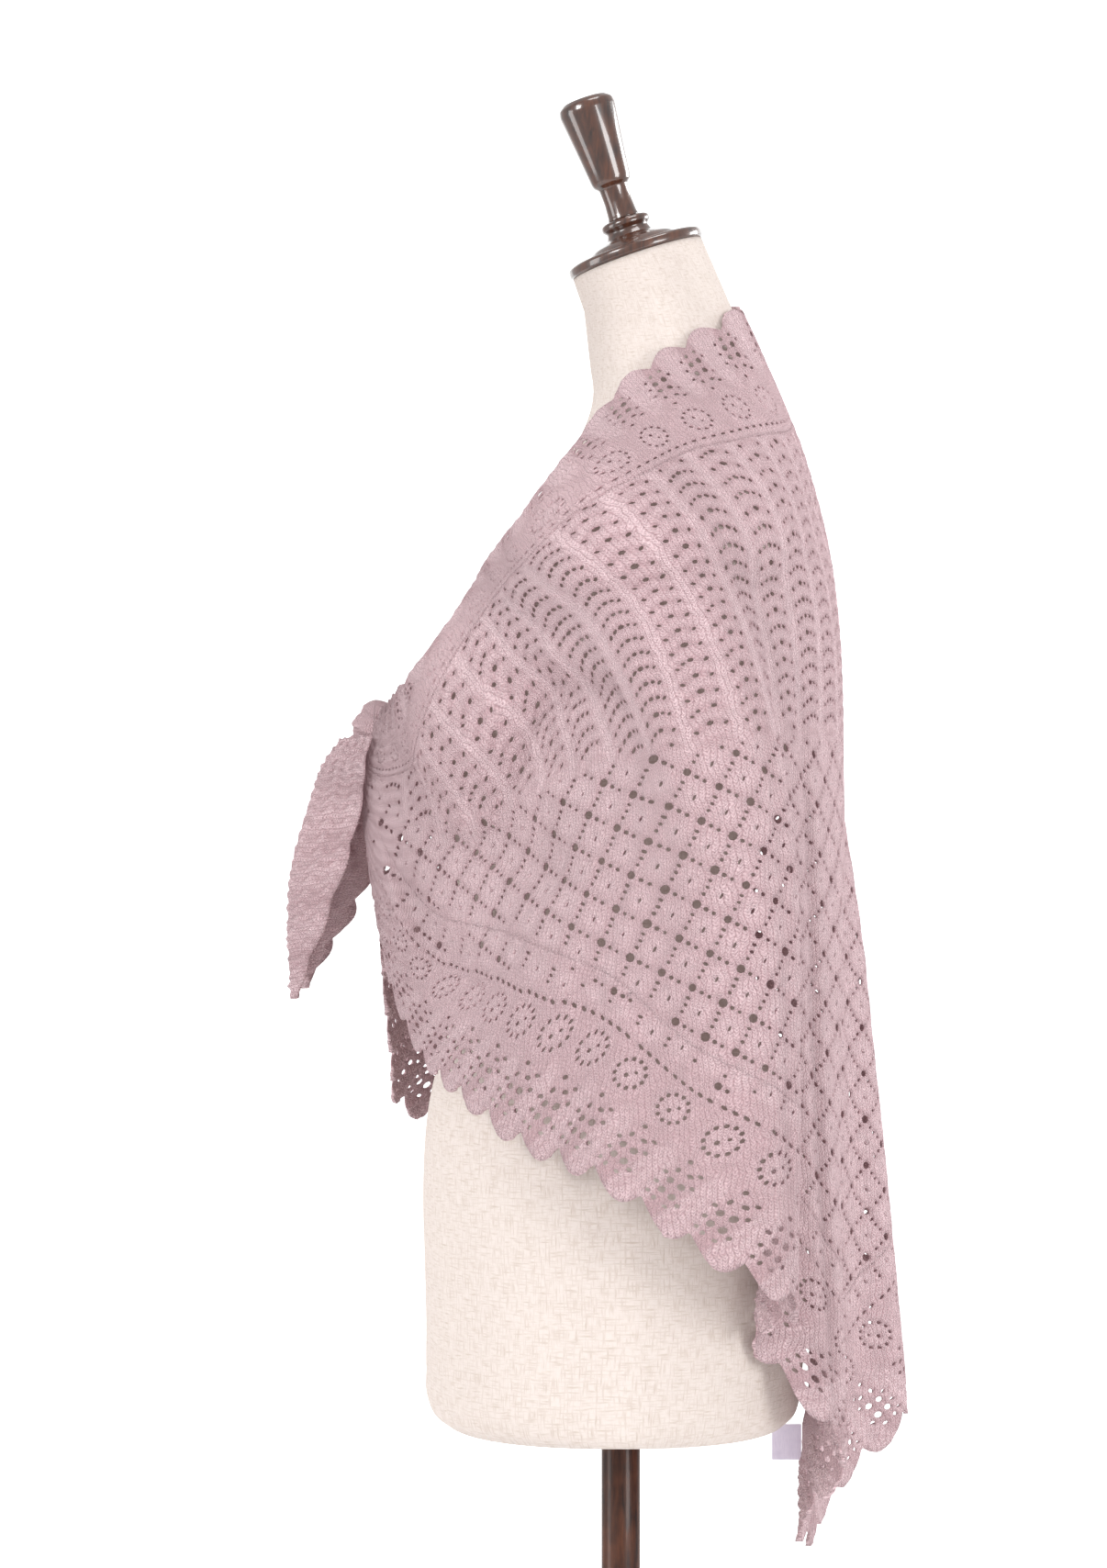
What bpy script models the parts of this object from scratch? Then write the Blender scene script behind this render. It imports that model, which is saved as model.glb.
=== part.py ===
"""A triangular lace shawl, worn knotted at the front over a limbless dress form on a pole stand.

Tables are in millimetres, and meshes are made in metres, +Z up. The form faces -Y and its left
side is +X. Heights in the tables are counted from a level just below the torso, which stands at
DATUM above the floor. The shawl is one flat triangle: a point of it is given by u, along the top
edge from the centre back (positive to the left), and v, down from the top edge. drape() and
hang_tail() carry a flat point to where it hangs, and every cloth wall is built from them, so
neighbouring pieces share one surface.
"""

import math

import bpy
import numpy as np

MM = 0.001

# The stand
DATUM = 720.0
TORSO_UNDERSIDE = 24.0
BASE_RADIUS = 165.0
BASE_HEIGHT = 26.0
BASE_SEGMENTS = 36
POLE_RADIUS = 12.6
PIECE_GAP = 0.3
SEAM_IN_FLAT = 0.8
GATHERED_GAP = 1.0

# The torso, cap and finial
TORSO_SEGMENTS = 32
TORSO_ROWS = 30
FLANK_HEIGHT = 80.0
SECTION_POWER = 2.35
NECK_TILT = math.radians(18.5)
NECK_TOP_FORWARD = -10.8
NECK_TOP_HEIGHT = 780.0
NECK_TOP_RADIUS = 44.0
CAP_SEGMENTS = 24
FINIAL_RAISED = 27.0

# The flat cut of the shawl
HALF_SPAN = 780.0
DEPTH = 840.0
BORDER = 87.0
HEM_COS = HALF_SPAN / math.hypot(HALF_SPAN, DEPTH)
HEM_SIN = DEPTH / math.hypot(HALF_SPAN, DEPTH)
HEM_BORDER_V = BORDER / HEM_COS
BODY_END = HALF_SPAN * (1 - (BORDER + HEM_BORDER_V) / DEPTH)
BODY_COLUMNS = 24
COLUMN = BODY_END / BODY_COLUMNS
TOP_SCALLOP = 1.5 * COLUMN
HEM_SCALLOP = COLUMN
SCALLOP_DEPTH = 9.0
TOP_EDGE_STEPS = 8
CLOTH = 2.0
TORSO_CLEARANCE = 1.0
SOFT_CONTACT = 5.0
RAIL_SAMPLES = 201
FOLD_END_FADE = 4.0
FOLD_OVERRUN = 1.15

# The borders: rows between the scallops and the seam as (share of the border, points a column)
TOP_EDGING_ROWS = [(0.27, 2), (0.52, 1), (0.76, 1)]
HEM_EDGING_ROW = (0.52, 2)
HEM_EDGE_STEPS = 4

# The lace: one large eyelet in each square of a lattice that is laid along the hem. Near the
# front the lattice starts higher up, by its rise for each millimetre past a place on the top edge
LATTICE_PITCH = 25.0
LATTICE_ROW_OFFSET = 0.55
LATTICE_COLUMN_OFFSET = 0.5
LATTICE_MARGIN = 6.0
LATTICE_START_V = 285.0
LATTICE_RISE = 0.9
LATTICE_RISE_FROM = 330.0
LATTICE_EYELET = 6.6
FAN_EYELET = 6.0
EYELET_ROOM = 0.62

# Torso sections: height, reach to the front, reach to the back, half width
TORSO_SECTIONS = [
    (TORSO_UNDERSIDE, 114, 106, 150),
    (29, 121, 112, 157),
    (39, 126, 116, 162),
    (58, 127, 118, 165),
    (86, 127, 120, 166),
    (128, 128, 121, 165),
    (176, 129, 121, 163),
    (230, 125, 115, 156),
    (278, 113, 100, 138),
    (326, 100, 83, 112),
    (374, 107, 86, 116),
    (422, 127, 101, 129),
    (470, 137, 115, 140),
    (506, 128, 122, 148),
    (542, 106, 127, 157),
    (566, 90, 127, 162),
    (590, 74, 126, 157),
    (614, 59, 122, 141),
    (638, 43, 117, 120),
    (656, 31, 112, 104),
    (674, 22, 104, 87),
    (692, 18, 97, 70),
    (710, 20, 90, 57),
    (728, 22, 82, 50),
    (746, 24, 73, 47),
]

# Where the cloth hangs, on lines that run down from the top edge at every u:
# the top edge, the border's seam, the shoulder, the side, the flank and the hem (x, y, height)
RAILS = [
    (0, (0, 73, 749), (0, 106, 682), (0, 131, 605), (0, 140, 430), (0, 136, 200), (0, 124, -61)),
    (50, (38, 58, 735), (52, 95, 662), (62, 126, 590), (66, 141, 420), (64, 132, 200), (60, 118, -34)),
    (100, (60, 30, 718), (88, 72, 655), (108, 108, 585), (118, 122, 440), (120, 128, 240), (122, 138, 14)),
    (150, (63, 0, 695), (104, 40, 635), (140, 78, 570), (152, 102, 420), (148, 96, 250), (146, 80, 85)),
    (200, (52, -30, 655), (118, 5, 625), (165, 55, 560), (195, 95, 430), (204, 104, 270), (205, 104, 112)),
    (250, (42, -62, 612), (112, -57, 588), (168, -8, 545), (205, 25, 460), (216, 40, 310), (220, 44, 149)),
    (300, (30, -86, 583), (98, -71, 567), (155, -36, 532), (200, 4, 460), (211, -6, 330), (212, -18, 192)),
    (350, (20, -102, 555), (83, -86, 547), (140, -52, 505),
     (172, -32, 455), (182, -50, 340), (180, -65, 211)),
    (400, (13, -136, 511), (58, -112, 492), (105, -78, 450),
     (135, -72, 390), (143, -86, 320), (140, -104, 240)),
    (450, (15, -146, 499), (34, -142, 479), (56, -128, 448),
     (75, -122, 400), (90, -122, 335), (92, -128, 262)),
    (500, (17, -150, 493), (27, -150, 476), (38, -148, 455),
     (48, -148, 415), (58, -148, 365), (62, -148, 305)),
    (550, (18, -153, 489), (23, -156, 475), (27, -160, 459),
     (31, -163, 436), (36, -162, 402), (40, -160, 362)),
    (BODY_END, (18, -155, 487), (21, -159, 475), (23, -163, 463),
     (24, -166, 449), (26, -167, 433), (28, -167, 412)),
]

# The right side mirrors the left, but its back fold stands further out and its front hangs
# further forward: u, shift of the side, of the flank and of the hem (y, height)
RIGHT_SHIFTS = [
    (0, (0, 0), (0, 0), (0, 0)),
    (50, (2, 0), (18, 0), (34, 6)),
    (100, (24, 0), (44, 0), (56, 2)),
    (150, (6, 0), (10, 0), (20, 0)),
    (200, (0, 0), (-4, 0), (-6, 6)),
    (250, (0, 0), (0, 0), (6, -8)),
    (300, (0, 0), (-8, 0), (-16, -10)),
    (350, (0, 0), (-20, -4), (-36, -16)),
    (400, (-8, 0), (-30, -6), (-46, -26)),
    (450, (-6, 0), (-18, -4), (-26, -12)),
    (500, (0, 0), (-6, 0), (-10, 0)),
    (550, (0, 0), (0, 0), (0, 0)),
    (BODY_END, (0, 0), (0, 0), (0, 0)),
]

# Folds laid on that shape: u and v where each starts and ends, half width, height outward
FOLDS = [
    ("knot_crease", 395, 118, 300, 205, 11, 5),
    ("pocket_above_crease", 385, 98, 315, 160, 13, -8),
    ("knot_pleat_upper", 455, 130, 345, 300, 12, 6),
    ("knot_pleat_lower", 500, 150, 405, 330, 12, 6),
    ("side_wave_front", 300, 330, 330, 500, 20, 4),
    ("side_wave_back", 235, 300, 262, 560, 22, 5),
    ("back_wave_left", 75, 330, 80, 740, 14, -5),
    ("back_wave_centre", 22, 360, 25, 800, 14, 5),
    ("shoulder_wave", 170, 150, 160, 420, 16, 4),
]

# The tails' crests: distance below the root in the flat, reach to the front, height, x
TAIL_CREST = [
    (0, 180.8, 467, 10),
    (25, 192.5, 450, 13),
    (60, 201, 427, 15),
    (100, 213, 386, 17),
    (150, 216, 337, 17),
    (205, 212, 283, 15),
]
TAIL_COLUMNS = 18
TAIL_ROWS = 6
TAIL_ROOT_GAP = 6.0
TAIL_POINT_GAP = 7.0
TAIL_POINT_WIDTH = 5.0
TAIL_ROOT_GATHER = 0.09
TAIL_OPEN_GATHER = 0.83
TAIL_OPENS_FROM = 15.0
TAIL_OPENS_OVER = 115.0
TAIL_NEAR_SHARE = 0.38
TAIL_FOLD_ROUND = 5.0
TAIL_HALF_FOLD = 5.0
TAIL_NEAR_SPREAD = 0.30
TAIL_FAR_SPREAD = 0.16
TAIL_BACK = 0.86
TAIL_RISE = 0.10
TAIL_WAVE = 1.6
TAIL_WAVE_ACROSS = 10.0
TAIL_WAVE_DOWN = 31.0
TAIL_WAVE_FROM = 40.0
TAIL_LAG = 6.0

# The knot between the two fronts: centre and half axes
KNOT_CENTRE = (0.0, -160.0, 467.0)
KNOT_AXES = (21.2, 18.0, 25.0)
KNOT_SEGMENTS = 18
KNOT_RINGS = 9
KNOT_SWELL = 0.05
KNOT_TURNS = 6

LABEL_SIZE = (19.0, 23.0, 0.8)
LABEL_PLACE = (27.0, 107.0, 11.0)

PINK = (0.60, 0.44, 0.47, 1.0)
LINEN = (0.90, 0.83, 0.75, 1.0)
WALNUT = (0.09, 0.035, 0.018, 1.0)
LABEL_WHITE = (0.88, 0.86, 0.92, 1.0)


def clear_scene():
    for old in list(bpy.data.objects):
        bpy.data.objects.remove(old, do_unlink=True)


def make_material(name, colour, roughness):
    material = bpy.data.materials.new(name)
    material.use_nodes = True
    shader = material.node_tree.nodes["Principled BSDF"]
    shader.inputs["Base Color"].default_value = colour
    shader.inputs["Roughness"].default_value = roughness
    shader.inputs["Metallic"].default_value = 0.0
    return material


def smooth_at(knots, values, where):
    """A cubic through rows of values at rising knots, read at any number of places."""
    knots = np.asarray(knots, float)
    values = np.asarray(values, float)
    slopes = np.gradient(values, knots, axis=0)
    low = np.clip(np.searchsorted(knots, where, side="right") - 1, 0, len(knots) - 2)
    span = knots[low + 1] - knots[low]
    t = (where - knots[low]) / span
    shape = t.shape + (1,) * (values.ndim - 1)
    t = t.reshape(shape)
    span = span.reshape(shape)
    return (
        (2 * t**3 - 3 * t**2 + 1) * values[low]
        + (t**3 - 2 * t**2 + t) * span * slopes[low]
        + (3 * t**2 - 2 * t**3) * values[low + 1]
        + (t**3 - t**2) * span * slopes[low + 1]
    )


def torso_section(height):
    """Centre y, half depth and half width of the torso at each height."""
    table = np.array(TORSO_SECTIONS, float)
    inside = np.clip(height, table[0, 0], table[-1, 0])
    row = smooth_at(table[:, 0], table[:, 1:], inside)
    return (row[:, 1] - row[:, 0]) / 2, (row[:, 1] + row[:, 0]) / 2, row[:, 2]


def torso_level(points):
    """1 on the torso's surface, less inside and more outside."""
    centre, half_depth, half_width = torso_section(points[:, 2])
    across = np.abs(points[:, 0] / half_width) ** SECTION_POWER
    along = np.abs((points[:, 1] - centre) / half_depth) ** SECTION_POWER
    return (across + along) ** (1 / SECTION_POWER)


def clear_of_torso(points, clearance):
    """Moves points that are inside the torso, or nearly touch it, out to the clearance."""
    step = 0.5
    for _ in range(5):
        level = torso_level(points)
        slope = np.empty_like(points)
        for axis in range(3):
            moved = points.copy()
            moved[:, axis] += step
            slope[:, axis] = (torso_level(moved) - level) / step
        steepness = np.maximum(np.linalg.norm(slope, axis=1), 1e-6)
        short = clearance - (level - 1) / steepness
        points = points + (np.maximum(short, 0) / steepness)[:, None] * slope
    return points


def settle_on_torso(points, clearance):
    """Eases points towards the clearance, so that the cloth bends softly where it meets the torso."""
    level = torso_level(points)
    slope = np.empty_like(points)
    step = 0.5
    for axis in range(3):
        moved = points.copy()
        moved[:, axis] += step
        slope[:, axis] = (torso_level(moved) - level) / step
    steepness = np.maximum(np.linalg.norm(slope, axis=1), 1e-6)
    spare = (level - 1) / steepness - clearance
    lifted = (np.sqrt(spare**2 + SOFT_CONTACT**2) - np.abs(spare)) / 2
    lifted = np.where(spare > 0, lifted, np.minimum(lifted, SOFT_CONTACT / 2))
    return points + (lifted / steepness)[:, None] * slope


def hem_v(u):
    """v of the hem line at u."""
    return DEPTH * (1 - np.abs(u) / HALF_SPAN)


def rail_samples(stations, finer=8):
    """A rail's points at equal steps of length, from the top edge to the hem."""
    stations = np.array(stations, float)
    chords = np.concatenate([[0], np.cumsum(np.linalg.norm(np.diff(stations, axis=0), axis=1))])
    fine = smooth_at(chords, stations, np.linspace(0, chords[-1], finer * RAIL_SAMPLES))
    lengths = np.concatenate([[0], np.cumsum(np.linalg.norm(np.diff(fine, axis=0), axis=1))])
    steps = np.linspace(0, lengths[-1], RAIL_SAMPLES)
    return np.stack([np.interp(steps, lengths, fine[:, axis]) for axis in range(3)], axis=1)


def all_rails():
    """u of each rail from right to left, and its points."""
    spread = []
    for row, shifts in zip(RAILS, RIGHT_SHIFTS):
        left = np.array(row[1:], float)
        right = left * (-1, 1, 1)
        for station, (shift_y, shift_z) in zip((3, 4, 5), shifts[1:]):
            right[station, 1:] += (shift_y, shift_z)
        spread.append((row[0], rail_samples(left)))
        if row[0] > 0:
            spread.append((-row[0], rail_samples(right)))
    spread.sort(key=lambda rail: rail[0])
    return np.array([rail[0] for rail in spread]), np.array([rail[1] for rail in spread])


RAIL_U, RAIL_POINTS = all_rails()


def hung(u, v):
    """The hanging surface before its small folds and before it meets the torso."""
    share = np.clip(v / hem_v(u), 0, 1) * (RAIL_SAMPLES - 1)
    low = np.minimum(share.astype(int), RAIL_SAMPLES - 2)
    part = (share - low)[:, None]
    knots = RAIL_U
    at = np.clip(np.searchsorted(knots, u, side="right") - 1, 0, len(knots) - 2)

    def on_rail(index):
        index = np.clip(index, 0, len(knots) - 1)
        return RAIL_POINTS[index, low] * (1 - part) + RAIL_POINTS[index, low + 1] * part

    before, start, end, after = (on_rail(at + offset) for offset in (-1, 0, 1, 2))
    span = (knots[at + 1] - knots[at])[:, None]
    back = (knots[at] - knots[np.maximum(at - 1, 0)])[:, None]
    ahead = (knots[np.minimum(at + 2, len(knots) - 1)] - knots[at + 1])[:, None]
    slope_start = (end - before) / (span + back)
    slope_end = (after - start) / (span + ahead)
    t = (u - knots[at])[:, None] / span
    return (
        (2 * t**3 - 3 * t**2 + 1) * start
        + (t**3 - 2 * t**2 + t) * span * slope_start
        + (3 * t**2 - 2 * t**3) * end
        + (t**3 - t**2) * span * slope_end
    )


def unit_normals(surface, u, v, step=3.0):
    """Outward unit normals of a surface that is a function of u and v."""
    along = surface(u + step, v) - surface(u - step, v)
    down = surface(u, v + step) - surface(u, v - step)
    normal = np.cross(down, along)
    return normal / np.maximum(np.linalg.norm(normal, axis=1), 1e-9)[:, None]


def fold_height(u, v):
    """How far the laid folds lift the cloth at each point."""
    height = np.zeros_like(u)
    for _, start_u, start_v, end_u, end_v, half_width, rise in FOLDS:
        run = np.array((end_u - start_u, end_v - start_v), float)
        length = np.hypot(*run)
        run /= length
        away_u = np.abs(u) - start_u
        away_v = v - start_v
        along = (away_u * run[0] + away_v * run[1]) / length
        across = (away_v * run[0] - away_u * run[1]) / half_width
        start = np.clip(along * FOLD_END_FADE, 0, 1)
        end = np.clip((FOLD_OVERRUN - along) * FOLD_END_FADE, 0, 1)
        height += rise * np.exp(-(across**2)) * start * end
    return height


def drape(u, v):
    """Where the middle of the cloth hangs at u and v, in millimetres."""
    u = np.asarray(u, float)
    v = np.asarray(v, float)
    points = hung(u, v)
    points = points + fold_height(u, v)[:, None] * unit_normals(hung, u, v)
    clearance = CLOTH / 2 + TORSO_CLEARANCE
    points = clear_of_torso(points, clearance)
    return settle_on_torso(points, clearance)


def hang_tail(u, v):
    """Where the middle of a tail's cloth hangs: it is folded along its crest, edges to the back."""
    side = np.sign(u)
    width = hem_v(u)
    share = np.clip(v / width, 0, 1)
    below = np.abs(u) - BODY_END
    table = np.array(TAIL_CREST, float)
    crest = smooth_at(table[:, 0], table[:, 1:], below)
    opened = np.clip((below - TAIL_OPENS_FROM) / TAIL_OPENS_OVER, 0, 1)
    gather = TAIL_ROOT_GATHER + TAIL_OPEN_GATHER * opened**2 * (3 - 2 * opened)
    across = (share - TAIL_NEAR_SHARE) * width * gather
    back = np.sqrt(across**2 + TAIL_FOLD_ROUND**2) - TAIL_FOLD_ROUND
    spread = np.where(across < 0, TAIL_NEAR_SPREAD, TAIL_FAR_SPREAD)
    facing = np.tanh(across / TAIL_FOLD_ROUND)
    wave = TAIL_WAVE * np.sin(across / TAIL_WAVE_ACROSS + below / TAIL_WAVE_DOWN)
    wave *= np.clip(below / TAIL_WAVE_FROM, 0, 1)
    x = crest[:, 2] - facing * (TAIL_HALF_FOLD + back * spread) + wave
    y = -crest[:, 0] + back * TAIL_BACK
    z = crest[:, 1] + back * TAIL_RISE
    shift = np.where(side < 0, TAIL_LAG, 0.0) * np.clip(below / TAIL_CREST[-1][0], 0, 1)
    return np.stack([side * x, y + shift, z + shift], axis=1)


def seam_gap(u):
    """The seam's gap in the flat: wider towards the knot, where the cloth is gathered up."""
    return SEAM_IN_FLAT + GATHERED_GAP * (np.asarray(u, float) / BODY_END) ** 2


class FlatSheet:
    """A piece of the flat cut: points (u, v), and faces that turn from u towards v."""

    def __init__(self):
        self.points = []
        self.faces = []

    def add_row(self, row):
        first = len(self.points)
        self.points.extend(row)
        return list(range(first, first + len(row)))

    def join_rows(self, upper, lower, upper_share, lower_share):
        """Fills between two rows of any counts; the shares say how far along each point is."""
        i = j = 0
        while i < len(upper) - 1 or j < len(lower) - 1:
            next_upper = upper_share[i + 1] if i < len(upper) - 1 else 9e9
            next_lower = lower_share[j + 1] if j < len(lower) - 1 else 9e9
            if abs(next_upper - next_lower) < 1e-9:
                self.faces.append((upper[i], upper[i + 1], lower[j + 1], lower[j]))
                i += 1
                j += 1
            elif next_upper < next_lower:
                self.faces.append((upper[i], upper[i + 1], lower[j]))
                i += 1
            else:
                self.faces.append((upper[i], lower[j + 1], lower[j]))
                j += 1

    def pierce(self, index, centre, size):
        """Cuts an eyelet of about this size into a face, as near to the centre as fits."""
        face = self.faces[index]
        corners = np.array([self.points[corner] for corner in face])
        middle = corners.mean(axis=0)
        reach = np.linalg.norm(corners - middle, axis=1)
        share = size / (2 * math.sqrt(0.5) * 2 * reach.mean())
        room = np.clip((EYELET_ROOM - share) / EYELET_ROOM, 0, 1)
        hole_centre = middle + (np.asarray(centre) - middle) * room
        first = len(self.points)
        hole = hole_centre + (corners - middle) * (2 * share)
        self.points.extend(map(tuple, hole))
        ring = [
            (face[k], face[(k + 1) % len(face)], first + (k + 1) % len(face), first + k)
            for k in range(len(face))
        ]
        self.faces[index] = ring[0]
        self.faces.extend(ring[1:])


def scalloped(u, pitch):
    """Depth of the notches between the scallops at u: 0 at a scallop's tip."""
    return SCALLOP_DEPTH * (1 - np.abs(np.cos(math.pi * np.asarray(u, float) / pitch)))


def body_sheet():
    """The left half of the lace ground, between the two borders, with the lattice eyelets."""
    sheet = FlatSheet()
    row_step = (DEPTH - HEM_BORDER_V - BORDER) / BODY_COLUMNS
    rows = []
    for j in range(BODY_COLUMNS + 1):
        v = BORDER + j * row_step
        row = [(k * COLUMN, v) for k in range(BODY_COLUMNS - j + 1)]
        row[0] = (PIECE_GAP / 2, v)
        rows.append(sheet.add_row(row))
    cells = {}
    for j in range(BODY_COLUMNS):
        for k in range(BODY_COLUMNS - j):
            upper = (rows[j][k], rows[j][k + 1])
            if k + 1 < len(rows[j + 1]):
                cells[(j, k)] = len(sheet.faces)
                sheet.faces.append((*upper, rows[j + 1][k + 1], rows[j + 1][k]))
            else:
                sheet.faces.append((*upper, rows[j + 1][k]))
    taken = set()
    for u, v in lattice_nodes():
        cell = (int((v - BORDER) // row_step), int(u // COLUMN))
        if cell in cells and cell not in taken:
            taken.add(cell)
            sheet.pierce(cells[cell], (u, v), LATTICE_EYELET)
    return sheet


def lattice_start(u):
    """v where the lattice along the hem begins, below the arched columns."""
    return LATTICE_START_V - LATTICE_RISE * max(0.0, u - LATTICE_RISE_FROM)


def lattice_nodes():
    """The large eyelets of the left half's lattice, row by row from the hem's border."""
    nodes = []
    rows = int((DEPTH * HEM_COS - BORDER) / LATTICE_PITCH)
    columns = int(math.hypot(HALF_SPAN, DEPTH) / LATTICE_PITCH)
    for i in range(rows):
        from_hem = BORDER + (i + LATTICE_ROW_OFFSET) * LATTICE_PITCH
        for j in range(-columns, columns):
            along = (j + LATTICE_COLUMN_OFFSET) * LATTICE_PITCH
            u = along * HEM_COS - from_hem * HEM_SIN
            v = DEPTH - along * HEM_SIN - from_hem * HEM_COS
            if u > LATTICE_MARGIN and v > lattice_start(u):
                nodes.append((u, v))
    return nodes


def top_edging_sheet():
    """The left half of the border along the top edge, from its scallops to its seam."""
    sheet = FlatSheet()
    edge_u = np.linspace(0, BODY_END, TOP_EDGE_STEPS * BODY_COLUMNS // 3 + 1)
    rows = [list(zip(edge_u, scalloped(edge_u, TOP_SCALLOP)))]
    for share, count in TOP_EDGING_ROWS:
        us = np.linspace(0, BODY_END, count * BODY_COLUMNS + 1)
        rows.append([(u, share * BORDER) for u in us])
    seam_u = np.linspace(0, BODY_END, BODY_COLUMNS + 1)
    rows.append(list(zip(seam_u, BORDER - seam_gap(seam_u))))
    return border_sheet(sheet, rows)


def hem_edging_sheet():
    """The left half of the border along the hem, from its seam to its scallops."""
    sheet = FlatSheet()

    def row(count, inward):
        us = np.linspace(0, BODY_END, count * BODY_COLUMNS + 1)
        return list(zip(us, hem_v(us) - np.asarray(inward(us)) / HEM_COS))

    seam = row(1, lambda us: BORDER - seam_gap(us))
    share, count = HEM_EDGING_ROW
    middle = row(count, lambda us: np.full_like(us, share * BORDER))
    edge = row(HEM_EDGE_STEPS, lambda us: scalloped(us, HEM_SCALLOP))
    sheet = border_sheet(sheet, [seam, middle, edge])
    fans = [index for index, face in enumerate(sheet.faces) if len(face) == 4]
    for index in fans[1::2]:
        corners = np.array([sheet.points[corner] for corner in sheet.faces[index]])
        sheet.pierce(index, corners.mean(axis=0), FAN_EYELET)
    return sheet


def border_sheet(sheet, rows):
    """A border from its rows, which start at the centre back and run to the knot."""
    indices = []
    for row in rows:
        row[0] = (PIECE_GAP / 2, row[0][1])
        indices.append(sheet.add_row(row))
    for upper, lower in zip(indices, indices[1:]):
        sheet.join_rows(upper, lower, np.linspace(0, 1, len(upper)), np.linspace(0, 1, len(lower)))
    return sheet


def tail_sheet():
    """The left end of the shawl, past the knot: both borders and the point where they meet."""
    sheet = FlatSheet()
    rows = []
    us = np.linspace(BODY_END + TAIL_ROOT_GAP, HALF_SPAN - TAIL_POINT_GAP, TAIL_COLUMNS + 1)
    for u in us:
        top = float(scalloped(u, TOP_SCALLOP))
        bottom = float(hem_v(u) - scalloped(u, HEM_SCALLOP) / HEM_COS)
        if bottom - top < TAIL_POINT_WIDTH:
            top = (hem_v(u) - TAIL_POINT_WIDTH) / 2
            bottom = (hem_v(u) + TAIL_POINT_WIDTH) / 2
        rows.append(sheet.add_row([(u, v) for v in np.linspace(top, bottom, TAIL_ROWS + 1)]))
    for first, second in zip(rows, rows[1:]):
        for k in range(TAIL_ROWS):
            sheet.faces.append((first[k], second[k], second[k + 1], first[k + 1]))
    return sheet


def mirrored(sheet):
    """The same flat piece on the right half."""
    other = FlatSheet()
    other.points = [(-u, v) for u, v in sheet.points]
    other.faces = [tuple(reversed(face)) for face in sheet.faces]
    return other


def add_mesh(name, points, faces, material, collection, smooth=True):
    mesh = bpy.data.meshes.new(name)
    lifted = np.asarray(points, float) + (0, 0, DATUM)
    mesh.from_pydata((lifted * MM).tolist(), [], [tuple(map(int, face)) for face in faces])
    mesh.update()
    mesh.materials.append(material)
    if smooth:
        mesh.shade_smooth()
    obj = bpy.data.objects.new(name, mesh)
    collection.objects.link(obj)
    return obj


def cloth_wall(name, sheet, surface, material, collection):
    """Hangs a flat piece and gives it its thickness: an outer side, an inner side and the rims."""
    flat = np.array(sheet.points, float)
    middle = surface(flat[:, 0], flat[:, 1])
    normals = unit_normals(surface, flat[:, 0], flat[:, 1])
    count = len(flat)
    points = np.concatenate([middle + normals * CLOTH / 2, middle - normals * CLOTH / 2])
    faces = [tuple(reversed(face)) for face in sheet.faces]
    faces += [tuple(corner + count for corner in face) for face in sheet.faces]
    edges = {}
    for face in sheet.faces:
        for a, b in zip(face, face[1:] + face[:1]):
            edges[(a, b)] = edges.get((a, b), 0) + 1
    for a, b in edges:
        if (b, a) not in edges:
            faces.append((a, b, b + count, a + count))
    return add_mesh(name, points, faces, material, collection)


def torso_rings():
    """Rings of the torso from its underside to the neck, the last ones leaning forward."""
    angles = np.linspace(0, 2 * math.pi, TORSO_SEGMENTS, endpoint=False)
    cos, sin = np.cos(angles), np.sin(angles)
    bend = 2 / SECTION_POWER
    unit_x = np.sign(cos) * np.abs(cos) ** bend
    unit_y = np.sign(sin) * np.abs(sin) ** bend
    top = TORSO_SECTIONS[-1][0]
    low_rows = [row[0] for row in TORSO_SECTIONS[:4]]
    heights = np.concatenate([low_rows, np.linspace(FLANK_HEIGHT, top, TORSO_ROWS - len(low_rows))])
    centre, half_depth, half_width = torso_section(heights)
    rings = []
    for height, y, depth, width in zip(heights, centre, half_depth, half_width):
        ring = np.stack([unit_x * width, y + unit_y * depth, np.full_like(unit_x, height)], axis=1)
        rings.append(ring)
    lean_y, lean_z = math.cos(NECK_TILT), math.sin(NECK_TILT)
    neck_centre_y = -NECK_TOP_FORWARD
    neck_top = np.stack(
        [
            cos * NECK_TOP_RADIUS,
            neck_centre_y + sin * NECK_TOP_RADIUS * lean_y,
            NECK_TOP_HEIGHT + sin * NECK_TOP_RADIUS * lean_z,
        ],
        axis=1,
    )
    rings.append(0.5 * (rings[-1] + neck_top))
    rings.append(neck_top)
    return rings


def build_torso(material, collection):
    rings = torso_rings()
    points = np.concatenate(rings)
    count = TORSO_SEGMENTS
    faces = [tuple(reversed(range(count)))]
    for row in range(len(rings) - 1):
        start = row * count
        for k in range(count):
            after = (k + 1) % count
            faces.append((start + k, start + after, start + count + after, start + count + k))
    faces.append(tuple(range((len(rings) - 1) * count, len(rings) * count)))
    return add_mesh("torso", points, faces, material, collection)


def turned(name, profile, segments, material, collection, location, tilt=0.0):
    """A turned piece: (radius, height) from the top of its axis down to the bottom of its axis."""
    mesh = bpy.data.meshes.new(name)
    points = [(radius * MM, 0, height * MM) for radius, height in profile]
    mesh.from_pydata(points, [(k, k + 1) for k in range(len(points) - 1)], [])
    mesh.materials.append(material)
    obj = bpy.data.objects.new(name, mesh)
    collection.objects.link(obj)
    obj.location = [value * MM for value in location]
    obj.rotation_euler = (tilt, 0, 0)
    screw = obj.modifiers.new("turn", "SCREW")
    screw.axis = "Z"
    screw.angle = 2 * math.pi
    screw.steps = segments
    screw.render_steps = segments
    screw.use_merge_vertices = True
    screw.merge_threshold = 0.00001
    screw.use_smooth_shade = True
    return obj


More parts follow.
